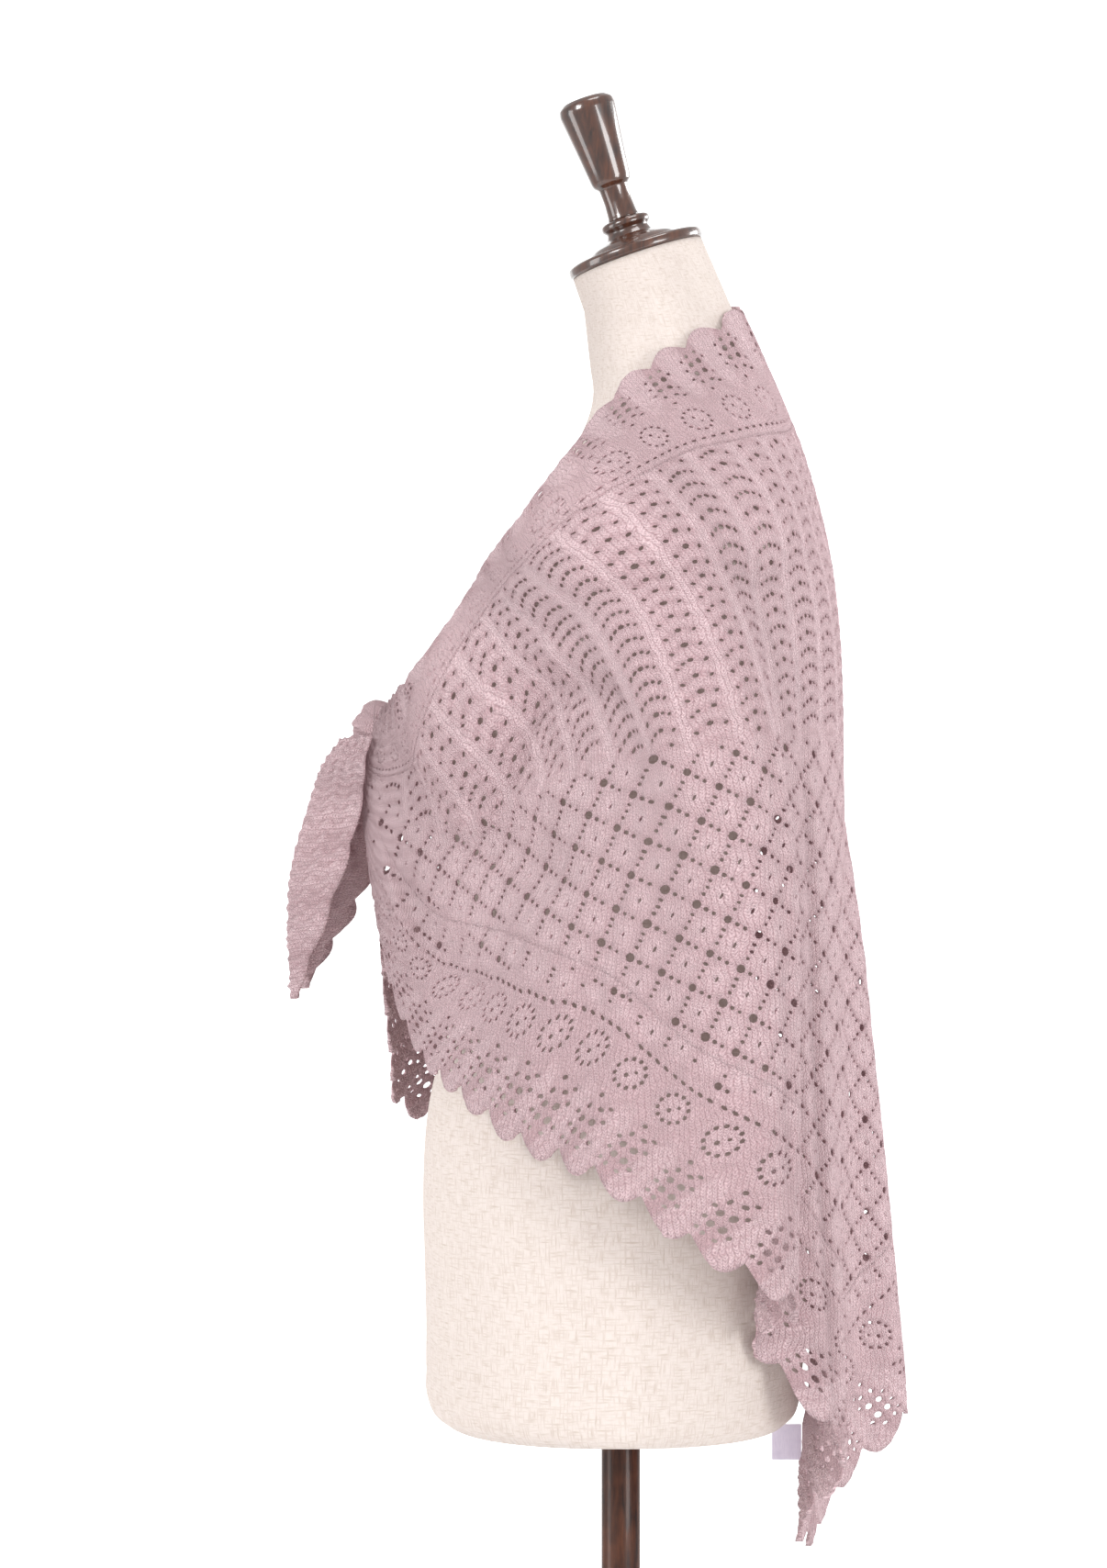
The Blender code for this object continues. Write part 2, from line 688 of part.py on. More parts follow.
def on_neck_axis(height):
    """A point on the tilted axis of the cap and finial, this far above the neck's top."""
    return (
        0,
        -NECK_TOP_FORWARD - height * math.sin(NECK_TILT),
        DATUM + NECK_TOP_HEIGHT + height * math.cos(NECK_TILT),
    )


def build_cap_and_finial(material, collection):
    cap = [(0, FINIAL_RAISED), (14.5, FINIAL_RAISED), (16.2, 25.5), (16.2, 22.5), (13.6, 20)]
    cap += [(15.5, 15.5), (20, 14), (27, 11.5), (30.5, 8.8), (31.5, 7.6), (43.5, 7)]
    cap += [(45.5, 5.5), (45.5, 1), (44, 0), (0, 0)]
    turned("neck_cap", cap, CAP_SEGMENTS, material, collection, on_neck_axis(PIECE_GAP), NECK_TILT)
    finial = [(0, 78), (14.6, 78), (18.2, 75), (18.9, 71), (15.8, 48), (13.2, 27), (12.4, 24.5)]
    finial += [(9.6, 22), (9.2, 12), (9.8, 3), (10.6, 0), (0, 0)]
    finial_foot = on_neck_axis(FINIAL_RAISED + 2 * PIECE_GAP)
    turned("finial", finial, CAP_SEGMENTS, material, collection, finial_foot, NECK_TILT)


def build_stand(material, collection):
    pole_low = BASE_HEIGHT + PIECE_GAP
    pole_high = DATUM + TORSO_UNDERSIDE - PIECE_GAP
    pole = [(0, pole_high), (POLE_RADIUS, pole_high), (POLE_RADIUS, pole_low), (0, pole_low)]
    turned("pole", pole, CAP_SEGMENTS, material, collection, (0, 0, 0))
    base = [(0, BASE_HEIGHT), (24, BASE_HEIGHT), (30, 22), (60, 19), (110, 16), (148, 14)]
    base += [(160, 11), (BASE_RADIUS, 6), (BASE_RADIUS - 2, 0), (0, 0)]
    turned("base", base, BASE_SEGMENTS, material, collection, (0, 0, 0))


def build_knot(material, collection):
    """The wrapped knot: a rounded body with soft turns across it."""
    segments, rings = KNOT_SEGMENTS, KNOT_RINGS
    points = [(KNOT_CENTRE[0], KNOT_CENTRE[1], KNOT_CENTRE[2] - KNOT_AXES[2])]
    for i in range(1, rings):
        fall = math.pi * i / rings
        swell = 1 + KNOT_SWELL * math.cos(KNOT_TURNS * fall)
        for k in range(segments):
            angle = 2 * math.pi * k / segments
            radius = math.sin(fall) * swell
            points.append(
                (
                    KNOT_CENTRE[0] + KNOT_AXES[0] * radius * math.cos(angle),
                    KNOT_CENTRE[1] + KNOT_AXES[1] * radius * math.sin(angle),
                    KNOT_CENTRE[2] - KNOT_AXES[2] * math.cos(fall),
                )
            )
    points.append((KNOT_CENTRE[0], KNOT_CENTRE[1], KNOT_CENTRE[2] + KNOT_AXES[2]))
    last = len(points) - 1
    faces = []
    for k in range(segments):
        after = (k + 1) % segments
        faces.append((0, 1 + after, 1 + k))
        faces.append((last, last - segments + k, last - segments + after))
        for i in range(rings - 2):
            low = 1 + i * segments
            faces.append((low + k, low + after, low + segments + after, low + segments + k))
    return add_mesh("knot", points, faces, material, collection)


def build_care_label(material, collection):
    """The blank label inside the lower back, hanging from its top edge."""
    half = [value / 2 for value in LABEL_SIZE]
    bpy.ops.mesh.primitive_cube_add(size=1)
    label = bpy.context.object
    label.name = "care_label"
    label.data.name = "care_label"
    for vertex in label.data.vertices:
        local = [vertex.co[axis] * 2 * half[axis] for axis in (0, 1, 2)]
        turned_point = (
            LABEL_PLACE[0] + local[2],
            LABEL_PLACE[1] + local[0],
            LABEL_PLACE[2] + DATUM + local[1],
        )
        vertex.co = [value * MM for value in turned_point]
    label.data.materials.append(material)
    for owner in list(label.users_collection):
        owner.objects.unlink(label)
    collection.objects.link(label)
    return label


def build_shawl(material, collection):
    pieces = [
        ("body", body_sheet(), drape),
        ("neck_edging", top_edging_sheet(), drape),
        ("hem_edging", hem_edging_sheet(), drape),
        ("tail", tail_sheet(), hang_tail),
    ]
    for name, sheet, surface in pieces:
        cloth_wall(name + "_left", sheet, surface, material, collection)
        cloth_wall(name + "_right", mirrored(sheet), surface, material, collection)
    build_knot(material, collection)


def main():
    clear_scene()
    collection = bpy.data.collections.new("lace_shawl_on_dress_form")
    bpy.context.scene.collection.children.link(collection)
    lace = make_material("pink_lace", PINK, 0.9)
    linen = make_material("cream_linen", LINEN, 0.85)
    walnut = make_material("walnut", WALNUT, 0.25)
    label = make_material("label_satin", LABEL_WHITE, 0.5)
    build_torso(linen, collection)
    build_cap_and_finial(walnut, collection)
    build_stand(walnut, collection)
    build_shawl(lace, collection)
    build_care_label(label, collection)


main()
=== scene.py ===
"""Looks of the lace shawl on its dress form: fine lace, linen, turned walnut, stage and light.

Lengths in the tables are millimetres and the row frame is in metres, +Z up. The form faces -Y and
its left side is +X. The shawl is one flat triangle: u runs along its top edge from the centre back
(positive to the left) and v runs down from the top edge. drape() and hang_tail() carry a flat point
to where it hangs, on the same form as the CAD walls. Each piece is cut in the flat, with every
eyelet as a hole of its own, then hung.
"""

import functools
import math

import bpy
import numpy as np
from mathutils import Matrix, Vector
from mathutils.geometry import delaunay_2d_cdt


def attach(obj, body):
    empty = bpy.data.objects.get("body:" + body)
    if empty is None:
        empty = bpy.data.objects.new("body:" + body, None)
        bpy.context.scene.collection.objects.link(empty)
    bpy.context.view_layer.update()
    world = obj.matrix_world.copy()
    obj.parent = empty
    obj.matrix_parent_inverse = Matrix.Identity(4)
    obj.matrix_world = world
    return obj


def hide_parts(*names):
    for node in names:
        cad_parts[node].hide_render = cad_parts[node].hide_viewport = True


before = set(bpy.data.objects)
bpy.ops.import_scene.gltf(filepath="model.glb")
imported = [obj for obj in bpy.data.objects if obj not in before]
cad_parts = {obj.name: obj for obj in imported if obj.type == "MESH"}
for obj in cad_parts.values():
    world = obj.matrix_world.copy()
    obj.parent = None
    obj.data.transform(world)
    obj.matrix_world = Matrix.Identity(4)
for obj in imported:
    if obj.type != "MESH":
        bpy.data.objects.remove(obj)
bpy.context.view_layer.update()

# Metres in a millimetre, and the height of the tables' zero above the floor
MM = 0.001
DATUM = 720.0

# Sizes and tables of the form and the drape

# The neck's cut top, the form's section and how close the cloth rests on it
NECK_TILT = math.radians(18.5)
NECK_TOP_FORWARD = -10.8
NECK_TOP_HEIGHT = 780.0
NECK_TOP_RADIUS = 44.0
SECTION_POWER = 2.35
TORSO_CLEARANCE = 1.0
SOFT_CONTACT = 5.0
CAD_CLOTH = 2.0

# The flat triangle: half its top edge, its depth and its borders; the halves end at the knot
HALF_SPAN = 780.0
DEPTH = 840.0
BORDER = 87.0
HEM_COS = HALF_SPAN / math.hypot(HALF_SPAN, DEPTH)
HEM_SIN = DEPTH / math.hypot(HALF_SPAN, DEPTH)
HEM_BORDER_V = BORDER / HEM_COS
BODY_END = HALF_SPAN * (1 - (BORDER + HEM_BORDER_V) / DEPTH)
TAIL_END = HALF_SPAN - 9
COLUMN = BODY_END / 24
TOP_SCALLOP = 1.5 * COLUMN
HEM_SCALLOP = COLUMN
HEM_PITCH = HEM_SCALLOP / HEM_COS
SCALLOP_DEPTH = 9.0

# Torso sections: height, reach to the front, reach to the back, half width
TORSO_SECTIONS = [
    (24, 114, 106, 150),
    (29, 121, 112, 157),
    (39, 126, 116, 162),
    (58, 127, 118, 165),
    (86, 127, 120, 166),
    (128, 128, 121, 165),
    (176, 129, 121, 163),
    (230, 125, 115, 156),
    (278, 113, 100, 138),
    (326, 100, 83, 112),
    (374, 107, 86, 116),
    (422, 127, 101, 129),
    (470, 137, 115, 140),
    (506, 128, 122, 148),
    (542, 106, 127, 157),
    (566, 90, 127, 162),
    (590, 74, 126, 157),
    (614, 59, 122, 141),
    (638, 43, 117, 120),
    (656, 31, 112, 104),
    (674, 22, 104, 87),
    (692, 18, 97, 70),
    (710, 20, 90, 57),
    (728, 22, 82, 50),
    (746, 24, 73, 47),
]

# Where the cloth hangs, on lines that run down from the top edge at every u:
# the top edge, the border's seam, the shoulder, the side, the flank and the hem (x, y, height)
RAILS = [
    (
        0,
        (0, 73, 749), (0, 106, 682), (0, 131, 605),
        (0, 140, 430), (0, 136, 200), (0, 124, -61),
    ),
    (
        50,
        (38, 58, 735), (52, 95, 662), (62, 126, 590),
        (66, 141, 420), (64, 132, 200), (60, 118, -34),
    ),
    (
        100,
        (60, 30, 718), (88, 72, 655), (108, 108, 585),
        (118, 122, 440), (120, 128, 240), (122, 138, 14),
    ),
    (
        150,
        (63, 0, 695), (104, 40, 635), (140, 78, 570),
        (152, 102, 420), (148, 96, 250), (146, 80, 85),
    ),
    (
        200,
        (52, -30, 655), (118, 5, 625), (165, 55, 560),
        (195, 95, 430), (204, 104, 270), (205, 104, 112),
    ),
    (
        250,
        (42, -62, 612), (112, -57, 588), (168, -8, 545),
        (205, 25, 460), (216, 40, 310), (220, 44, 149),
    ),
    (
        300,
        (30, -86, 583), (98, -71, 567), (155, -36, 532),
        (200, 4, 460), (211, -6, 330), (212, -18, 192),
    ),
    (
        350,
        (20, -102, 555), (83, -86, 547), (140, -52, 505),
        (172, -32, 455), (182, -50, 340), (180, -65, 211),
    ),
    (
        400,
        (13, -136, 511), (58, -112, 492), (105, -78, 450),
        (135, -72, 390), (143, -86, 320), (140, -104, 240),
    ),
    (
        450,
        (15, -146, 499), (34, -142, 479), (56, -128, 448),
        (75, -122, 400), (90, -122, 335), (92, -128, 262),
    ),
    (
        500,
        (17, -150, 493), (27, -150, 476), (38, -148, 455),
        (48, -148, 415), (58, -148, 365), (62, -148, 305),
    ),
    (
        550,
        (18, -153, 489), (23, -156, 475), (27, -160, 459),
        (31, -163, 436), (36, -162, 402), (40, -160, 362),
    ),
    (
        BODY_END,
        (18, -155, 487), (21, -159, 475), (23, -163, 463),
        (24, -166, 449), (26, -167, 433), (28, -167, 412),
    ),
]

# How the right side differs from the mirrored left: u, then the shifts (y, height) of three stations
RIGHT_SHIFTS = [
    (0, (0, 0), (0, 0), (0, 0)),
    (50, (2, 0), (18, 0), (34, 6)),
    (100, (24, 0), (44, 0), (56, 2)),
    (150, (6, 0), (10, 0), (20, 0)),
    (200, (0, 0), (-4, 0), (-6, 6)),
    (250, (0, 0), (0, 0), (6, -8)),
    (300, (0, 0), (-8, 0), (-16, -10)),
    (350, (0, 0), (-20, -4), (-36, -16)),
    (400, (-8, 0), (-30, -6), (-46, -26)),
    (450, (-6, 0), (-18, -4), (-26, -12)),
    (500, (0, 0), (-6, 0), (-10, 0)),
    (550, (0, 0), (0, 0), (0, 0)),
    (BODY_END, (0, 0), (0, 0), (0, 0)),
]

# The folds of the CAD form: u and v where each starts and ends, half width, height outward
FOLDS = [
    (395, 118, 300, 205, 11, 5),
    (385, 98, 315, 160, 13, -8),
    (455, 130, 345, 300, 12, 6),
    (500, 150, 405, 330, 12, 6),
    (300, 330, 330, 500, 20, 4),
    (235, 300, 262, 560, 22, 5),
    (75, 330, 80, 740, 14, -5),
    (22, 360, 25, 800, 14, 5),
    (170, 150, 160, 420, 16, 4),
]

# The tails' crests: distance below the root in the flat, reach to the front, height, x
TAIL_CREST = [
    (0, 180.8, 467, 10),
    (25, 192.5, 450, 13),
    (60, 201, 427, 15),
    (100, 213, 386, 17),
    (150, 216, 337, 17),
    (205, 212, 283, 15),
]
TAIL_START = 2.0

# How much of the flat width each layer of a tail keeps, at distances below the root
LEAF_BELOW = (0, 25, 60, 100, 150, 200)
LEAF_KEPT = (0.32, 0.48, 0.70, 0.92, 1.12, 1.3)
SECOND_KEPT = (0.14, 0.26, 0.66, 1.15, 1.55, 1.55)
LEAF_SHARE = (0.38, 0.38, 0.40, 0.46, 0.48, 0.50)

# A tail's fold, how far its visible layer stands open below the root, its pleats and its scallops
FOLD_RADIUS = 5.0
OPEN_BELOW = (25, 80, 140)
OPEN_SHARE = (0.62, 0.45, 0.30)
SECOND_OPEN_SHARE = 0.16
PLEAT = 16.0
PLEAT_HIGHEST = 3.0
PLEATS_END = 170.0
TAIL_SCALLOP = 0.35
TAIL_LENGTH = 205.0
RIGHT_TAIL_SHIFT = 6.0

KNOT_CENTRE = (0.0, -160.0, 467.0)
KNOT_AXES = (21.2, 18.0, 25.0)


def cubic(t, span, start, start_slope, end, end_slope):
    """A smooth curve from start to end, read at the shares t of its span."""
    return (
        (2 * t**3 - 3 * t**2 + 1) * start
        + (t**3 - 2 * t**2 + t) * span * start_slope
        + (3 * t**2 - 2 * t**3) * end
        + (t**3 - t**2) * span * end_slope
    )


def read_grid(grid, row, column):
    """A grid's value between its points, at fractional rows and columns."""
    row = np.clip(row, 0, grid.shape[0] - 1.001)
    column = np.clip(column, 0, grid.shape[1] - 1.001)
    i, j = row.astype(int), column.astype(int)
    row, column = row - i, column - j
    low = grid[i, j] * (1 - column) + grid[i, j + 1] * column
    high = grid[i + 1, j] * (1 - column) + grid[i + 1, j + 1] * column
    return low * (1 - row) + high * row


def smooth_at(knots, values, where):
    """A cubic through rows of values at rising knots, read at any number of places."""
    knots = np.asarray(knots, float)
    values = np.asarray(values, float)
    slopes = np.gradient(values, knots, axis=0)
    low = np.clip(np.searchsorted(knots, where, side="right") - 1, 0, len(knots) - 2)
    span = knots[low + 1] - knots[low]
    t = (where - knots[low]) / span
    shape = t.shape + (1,) * (values.ndim - 1)
    t = t.reshape(shape)
    span = span.reshape(shape)
    return cubic(t, span, values[low], slopes[low], values[low + 1], slopes[low + 1])


def torso_section(height):
    """Centre y, half depth and half width of the torso at each height."""
    rows = np.array(TORSO_SECTIONS, float)
    inside = np.clip(height, rows[0, 0], rows[-1, 0])
    row = smooth_at(rows[:, 0], rows[:, 1:], inside)
    return (row[:, 1] - row[:, 0]) / 2, (row[:, 1] + row[:, 0]) / 2, row[:, 2]


def torso_level(points):
    """1 on the torso's surface, less inside and more outside."""
    centre, half_depth, half_width = torso_section(points[:, 2])
    across = np.abs(points[:, 0] / half_width) ** SECTION_POWER
    along = np.abs((points[:, 1] - centre) / half_depth) ** SECTION_POWER
    return (across + along) ** (1 / SECTION_POWER)


def torso_slope(points):
    """Level at each point, and which way and how fast it rises."""
    step = 0.5
    level = torso_level(points)
    slope = np.empty_like(points)
    for axis in range(3):
        moved = points.copy()
        moved[:, axis] += step
        slope[:, axis] = (torso_level(moved) - level) / step
    return level, slope, np.maximum(np.linalg.norm(slope, axis=1), 1e-6)


def rest_on_torso(points, clearance):
    """Keeps points clear of the torso, and bends them softly where they meet it."""
    for _ in range(5):
        level, slope, steepness = torso_slope(points)
        short = clearance - (level - 1) / steepness
        points = points + (np.maximum(short, 0) / steepness)[:, None] * slope
    level, slope, steepness = torso_slope(points)
    spare = (level - 1) / steepness - clearance
    lifted = (np.sqrt(spare**2 + SOFT_CONTACT**2) - np.abs(spare)) / 2
    lifted = np.where(spare > 0, lifted, np.minimum(lifted, SOFT_CONTACT / 2))
    return points + (lifted / steepness)[:, None] * slope


def hem_v(u):
    return DEPTH * (1 - np.abs(u) / HALF_SPAN)


def rail_samples(stations, samples=201):
    """A rail's points at equal steps of length, from the top edge to the hem."""
    stations = np.array(stations, float)
    chords = np.concatenate([[0], np.cumsum(np.linalg.norm(np.diff(stations, axis=0), axis=1))])
    fine = smooth_at(chords, stations, np.linspace(0, chords[-1], 8 * samples))
    lengths = np.concatenate([[0], np.cumsum(np.linalg.norm(np.diff(fine, axis=0), axis=1))])
    steps = np.linspace(0, lengths[-1], samples)
    return np.stack([np.interp(steps, lengths, fine[:, axis]) for axis in range(3)], axis=1)


def all_rails():
    """u of each rail from right to left, and its points."""
    spread = []
    for row, shifts in zip(RAILS, RIGHT_SHIFTS):
        left = np.array(row[1:], float)
        right = left * (-1, 1, 1)
        for station, (shift_y, shift_z) in zip((3, 4, 5), shifts[1:]):
            right[station, 1:] += (shift_y, shift_z)
        spread.append((row[0], rail_samples(left)))
        if row[0] > 0:
            spread.append((-row[0], rail_samples(right)))
    spread.sort(key=lambda rail: rail[0])
    return np.array([rail[0] for rail in spread]), np.array([rail[1] for rail in spread])


RAIL_U, RAIL_POINTS = all_rails()


def hung(u, v):
    """The hanging surface before its folds and before it meets the torso."""
    share = np.clip(v / hem_v(u), 0, 1) * (RAIL_POINTS.shape[1] - 1)
    low = np.minimum(share.astype(int), RAIL_POINTS.shape[1] - 2)
    part = (share - low)[:, None]
    at = np.clip(np.searchsorted(RAIL_U, u, side="right") - 1, 0, len(RAIL_U) - 2)

    def on_rail(index):
        index = np.clip(index, 0, len(RAIL_U) - 1)
        return RAIL_POINTS[index, low] * (1 - part) + RAIL_POINTS[index, low + 1] * part

    before, start, end, after = (on_rail(at + offset) for offset in (-1, 0, 1, 2))
    span = (RAIL_U[at + 1] - RAIL_U[at])[:, None]
    back = (RAIL_U[at] - RAIL_U[np.maximum(at - 1, 0)])[:, None]
    ahead = (RAIL_U[np.minimum(at + 2, len(RAIL_U) - 1)] - RAIL_U[at + 1])[:, None]
    slope_start = (end - before) / (span + back)
    slope_end = (after - start) / (span + ahead)
    t = (u - RAIL_U[at])[:, None] / span
    return cubic(t, span, start, slope_start, end, slope_end)


def unit_normals(surface, u, v, step=3.0):
    """Outward unit normals of a surface that is a function of u and v."""
    along = surface(u + step, v) - surface(u - step, v)
    down = surface(u, v + step) - surface(u, v - step)
    normal = np.cross(down, along)
    return normal / np.maximum(np.linalg.norm(normal, axis=1), 1e-9)[:, None]


def fold_height(u, v, folds):
    """How far the laid folds lift the cloth at each point."""
    height = np.zeros_like(u)
    for start_u, start_v, end_u, end_v, half_width, rise in folds:
        run = np.array((end_u - start_u, end_v - start_v), float)
        length = np.hypot(*run)
        run /= length
        away_u = np.abs(u) - start_u
        away_v = v - start_v
        along = (away_u * run[0] + away_v * run[1]) / length
        across = (away_v * run[0] - away_u * run[1]) / half_width
        ends = np.clip(along * 4, 0, 1) * np.clip((1.15 - along) * 4, 0, 1)
        height += rise * np.exp(-(across**2)) * ends
    return height


# Softer creases that only the fine cloth has: u and v at both ends, half width, height outward
CREASES = [
    (430, 110, 330, 190, 5, 2.2),
    (445, 120, 350, 240, 5, -1.8),
    (470, 128, 375, 270, 5, 1.8),
    (520, 140, 440, 290, 6, 2.0),
    (203, 190, 207, 560, 7, 4.0),
    (166, 260, 160, 640, 12, -3.5),
    (285, 240, 300, 420, 8, -1.6),
    (122, 230, 106, 700, 7, 4.0),
    (48, 420, 52, 780, 8, -1.8),
    (140, 420, 138, 640, 8, -1.6),
    (60, 90, 92, 170, 8, 1.5),
    (25, 100, 40, 190, 8, -1.2),
]


def drape(u, v):
    """Where the middle of the cloth hangs at u and v, in millimetres."""
    points = hung(u, v)
    height = fold_height(u, v, FOLDS) + fold_height(u, v, CREASES)
    points = points + height[:, None] * unit_normals(hung, u, v)
    return rest_on_torso(points, CAD_CLOTH / 2 + TORSO_CLEARANCE)


def hang_tail(u, v):
    """Where the middle of a tail's cloth hangs: folded along its crest, pleated at the root."""
    side = np.sign(u)
    width = hem_v(u)
    share = np.clip(v / width, 0, 1)
    below = np.abs(u) - BODY_END
    rows = np.array(TAIL_CREST, float)
    crest = smooth_at(rows[:, 0], rows[:, 1:], below)
    leaf = np.interp(below, LEAF_BELOW, LEAF_KEPT)
    gather = np.interp(below, LEAF_BELOW, SECOND_KEPT)
    crest_share = np.interp(below, LEAF_BELOW, LEAF_SHARE)
    across = (share - crest_share) * width * np.where(share < crest_share, leaf, gather)
    back = np.sqrt(across**2 + FOLD_RADIUS**2) - FOLD_RADIUS
    opening = np.where(across < 0, np.interp(below, OPEN_BELOW, OPEN_SHARE), SECOND_OPEN_SHARE)
    turned = np.tanh(across / FOLD_RADIUS)
    wave = 1.6 * np.sin(across / 10 + below / 31) * np.clip(below / 40, 0, 1)
    fullness = np.maximum(0.85 / gather, 1.0)
    pleat_height = PLEAT * gather * np.sqrt(2 * (fullness**2 - 1)) / (2 * np.pi)
    pleat_height = np.minimum(pleat_height, PLEAT_HIGHEST)
    pleat_height *= np.where(across < 0, 0.15, 1.0) * np.clip((PLEATS_END - below) / 40, 0, 1)
    pleat = pleat_height * np.sin(2 * np.pi * v / PLEAT)
    x = crest[:, 2] - turned * (FOLD_RADIUS + back * opening) + wave + pleat
    y = -crest[:, 0] + back * np.where(across < 0, 0.93, 0.9)
    z = crest[:, 1] + back * 0.10
    shift = np.where(side < 0, RIGHT_TAIL_SHIFT, 0.0) * np.clip(below / TAIL_LENGTH, 0, 1)
    return np.stack([side * x, y + shift, z + shift], axis=1)


# The lace chart, in the flat

CLOTH = 1.5
LATTICE_ROW = 21.5
LATTICE_RISE = 22.0
RIB_PITCH = BODY_END / 22
ARCH_PITCH = 10.5
ARCH_BEND = 0.05
RIM = 1.2


def scalloped(u, pitch):
    """Depth of the notches between the scallops at u: 0 at a scallop's tip."""
    return SCALLOP_DEPTH * (1 - np.abs(np.cos(math.pi * np.asarray(u, float) / pitch)))


def lattice_start(u):
    """v where the lattice along the hem begins, below the arched columns."""
    return np.interp(np.abs(u), (0, 150, 200, 300, 375, 450, 520), (285, 280, 272, 255, 205, 150, 95))


def from_hem(u, v):
    """Distance from the hem line, and distance along it from its lowest point."""
    return (hem_v(u) - v) * HEM_COS, np.abs(u) * HEM_COS + (DEPTH - v) * HEM_SIN


def at_hem(along, inward):
    """u and v of a point given along the hem and inward from it."""
    return along * HEM_COS - inward * HEM_SIN, DEPTH - along * HEM_SIN - inward * HEM_COS


# One cell of the lattice: along the hem towards the back, towards the hem, half sizes of the eyelet
LATTICE_CELL = [
    (0.0, 0.0, 2.8, 2.6),
    (6.6, 0.2, 1.7, 1.3),
    (12.0, 0.4, 1.4, 1.2),
    (0.6, 6.4, 1.7, 1.0),
    (1.0, 10.6, 1.5, 1.0),
    (0.8, 15.0, 1.4, 1.1),
    (11.2, 11.6, 0.9, 1.9),
]

# One arch of a column: across the column, bend, half sizes
ARCH = [
    (0.0, 1.9, 1.6),
    (-4.1, 1.5, 1.3),
    (4.1, 1.5, 1.3),
    (-7.6, 1.2, 1.5),
    (7.6, 1.2, 1.5),
]

# One fan of the border, centred on a notch: along the edge, inward, half sizes
FAN = [
    (4.2, 44.6, 1.9, 1.5),
    (-7.5, 40.6, 2.0, 1.2),
    (-2.4, 37.4, 2.3, 1.4),
    (6.4, 36.4, 1.6, 1.9),
    (-9.0, 32.0, 1.7, 1.5),
    (-2.9, 29.0, 2.6, 2.2),
    (5.4, 28.6, 2.3, 2.1),
    (11.4, 31.2, 1.9, 1.3),
    (-3.4, 20.8, 2.5, 2.3),
    (4.8, 21.0, 2.4, 2.2),
    (11.0, 23.2, 1.8, 1.4),
    (-9.8, 18.4, 1.8, 1.5),
    (-4.8, 13.6, 1.9, 1.2),
    (4.2, 14.2, 1.6, 1.6),
    (10.2, 15.6, 1.7, 1.3),
]
ROUNDEL_INWARD = 64.0
ROUNDEL_RADIUS = 9.6
ROUNDEL_EYELETS = 12
SEAM_LINE_INWARD = 80.6
SEAM_LINE_EYELETS = 5


def border_chart(pitch, count, start=0.5):
    """Eyelets of a border: fans, roundels and the line of long eyelets by the seam."""
    chart = []
    for k in range(count):
        notch = (k + start) * pitch
        for along, inward, long_half, tall_half in FAN:
            chart.append((notch + along, inward, long_half, tall_half, 0.0))
        for step in range(ROUNDEL_EYELETS):
            angle = 2 * math.pi * step / ROUNDEL_EYELETS
            along = notch + ROUNDEL_RADIUS * math.cos(angle)
            inward = ROUNDEL_INWARD + ROUNDEL_RADIUS * math.sin(angle)
            chart.append((along, inward, 1.3, 1.7, angle))
        chart.append((notch + 1.2, ROUNDEL_INWARD - 2.2, 1.5, 1.7, 0.0))
        chart.append((notch - 2.6, ROUNDEL_INWARD + 2.6, 1.2, 1.2, 0.0))
        for step in range(SEAM_LINE_EYELETS):
            along = notch + (step - 2) * pitch / SEAM_LINE_EYELETS
            chart.append((along, SEAM_LINE_INWARD, 2.3, 1.1, 0.2))
    return chart


def top_chart():
    """Eyelets of the border along the top edge."""
    return border_chart(TOP_SCALLOP, int(HALF_SPAN / TOP_SCALLOP))


class HungLengths:
    """Lengths over the hanging cloth on a grid of the flat, so that the chart looks even once hung."""

    STEP = 6.0
    LEAST = 0.36
    MOST = 1.15

    def __init__(self, first_end, second_end, place, averaged):
        self.first = np.arange(0.0, first_end, self.STEP)
        self.second = np.arange(0.0, second_end, self.STEP)
        first, second = np.meshgrid(self.first, self.second, indexing="ij")
        u, v = place(first.ravel(), second.ravel())
        points = hung(np.clip(u, -BODY_END, BODY_END), np.clip(v, 0, None)).reshape(*first.shape, 3)
        on_body = ((v > BORDER / 2) & (u > 0) & (u < BODY_END)).reshape(first.shape)
        self.kept_first = np.linalg.norm(np.gradient(points, self.STEP, axis=0), axis=2)
        self.kept_second = np.linalg.norm(np.gradient(points, self.STEP, axis=1), axis=2)
        band = on_body & (second > averaged[0]) & (second < averaged[1])
        total = (self.kept_first * band).sum(axis=1)
        mean = np.where(band.sum(axis=1) > 0, total / np.maximum(band.sum(axis=1), 1), 1.0)
        self.lengths = np.cumsum(np.clip(mean, self.LEAST, self.MOST)) * self.STEP
        steps = np.clip(self.kept_second, self.LEAST, self.MOST) * self.STEP
        across = np.cumsum(steps, axis=1)
        start = int(BORDER / self.STEP)
        self.across = across - across[:, start : start + 1]

    def spot(self, grid, first, second):
        """A grid's value at places of the flat."""
        row = np.asarray(first, float) / self.STEP
        return read_grid(grid, row, np.asarray(second, float) / self.STEP)

    def flat_place(self, length, across):
        """The place of the flat that hangs this far along and across."""
        first = float(np.interp(length, self.lengths, self.first))
        column = self.spot(self.across, np.full(len(self.second), first), self.second)
        return first, float(np.interp(across, column, self.second))

    def grown(self, hole, turn, place):
        """An eyelet given on the hanging cloth, put in the flat and enlarged where it is gathered."""
        length, across, long_half, tall_half = hole
        first, second = self.flat_place(length, across)
        wide = float(np.clip(self.spot(self.kept_first, first, second), self.LEAST, self.MOST))
        high = float(np.clip(self.spot(self.kept_second, first, second), self.LEAST, self.MOST))
        u, v = place(first, second)
        return u, v, long_half / max(wide, 0.6), tall_half / max(high, 0.6), turn


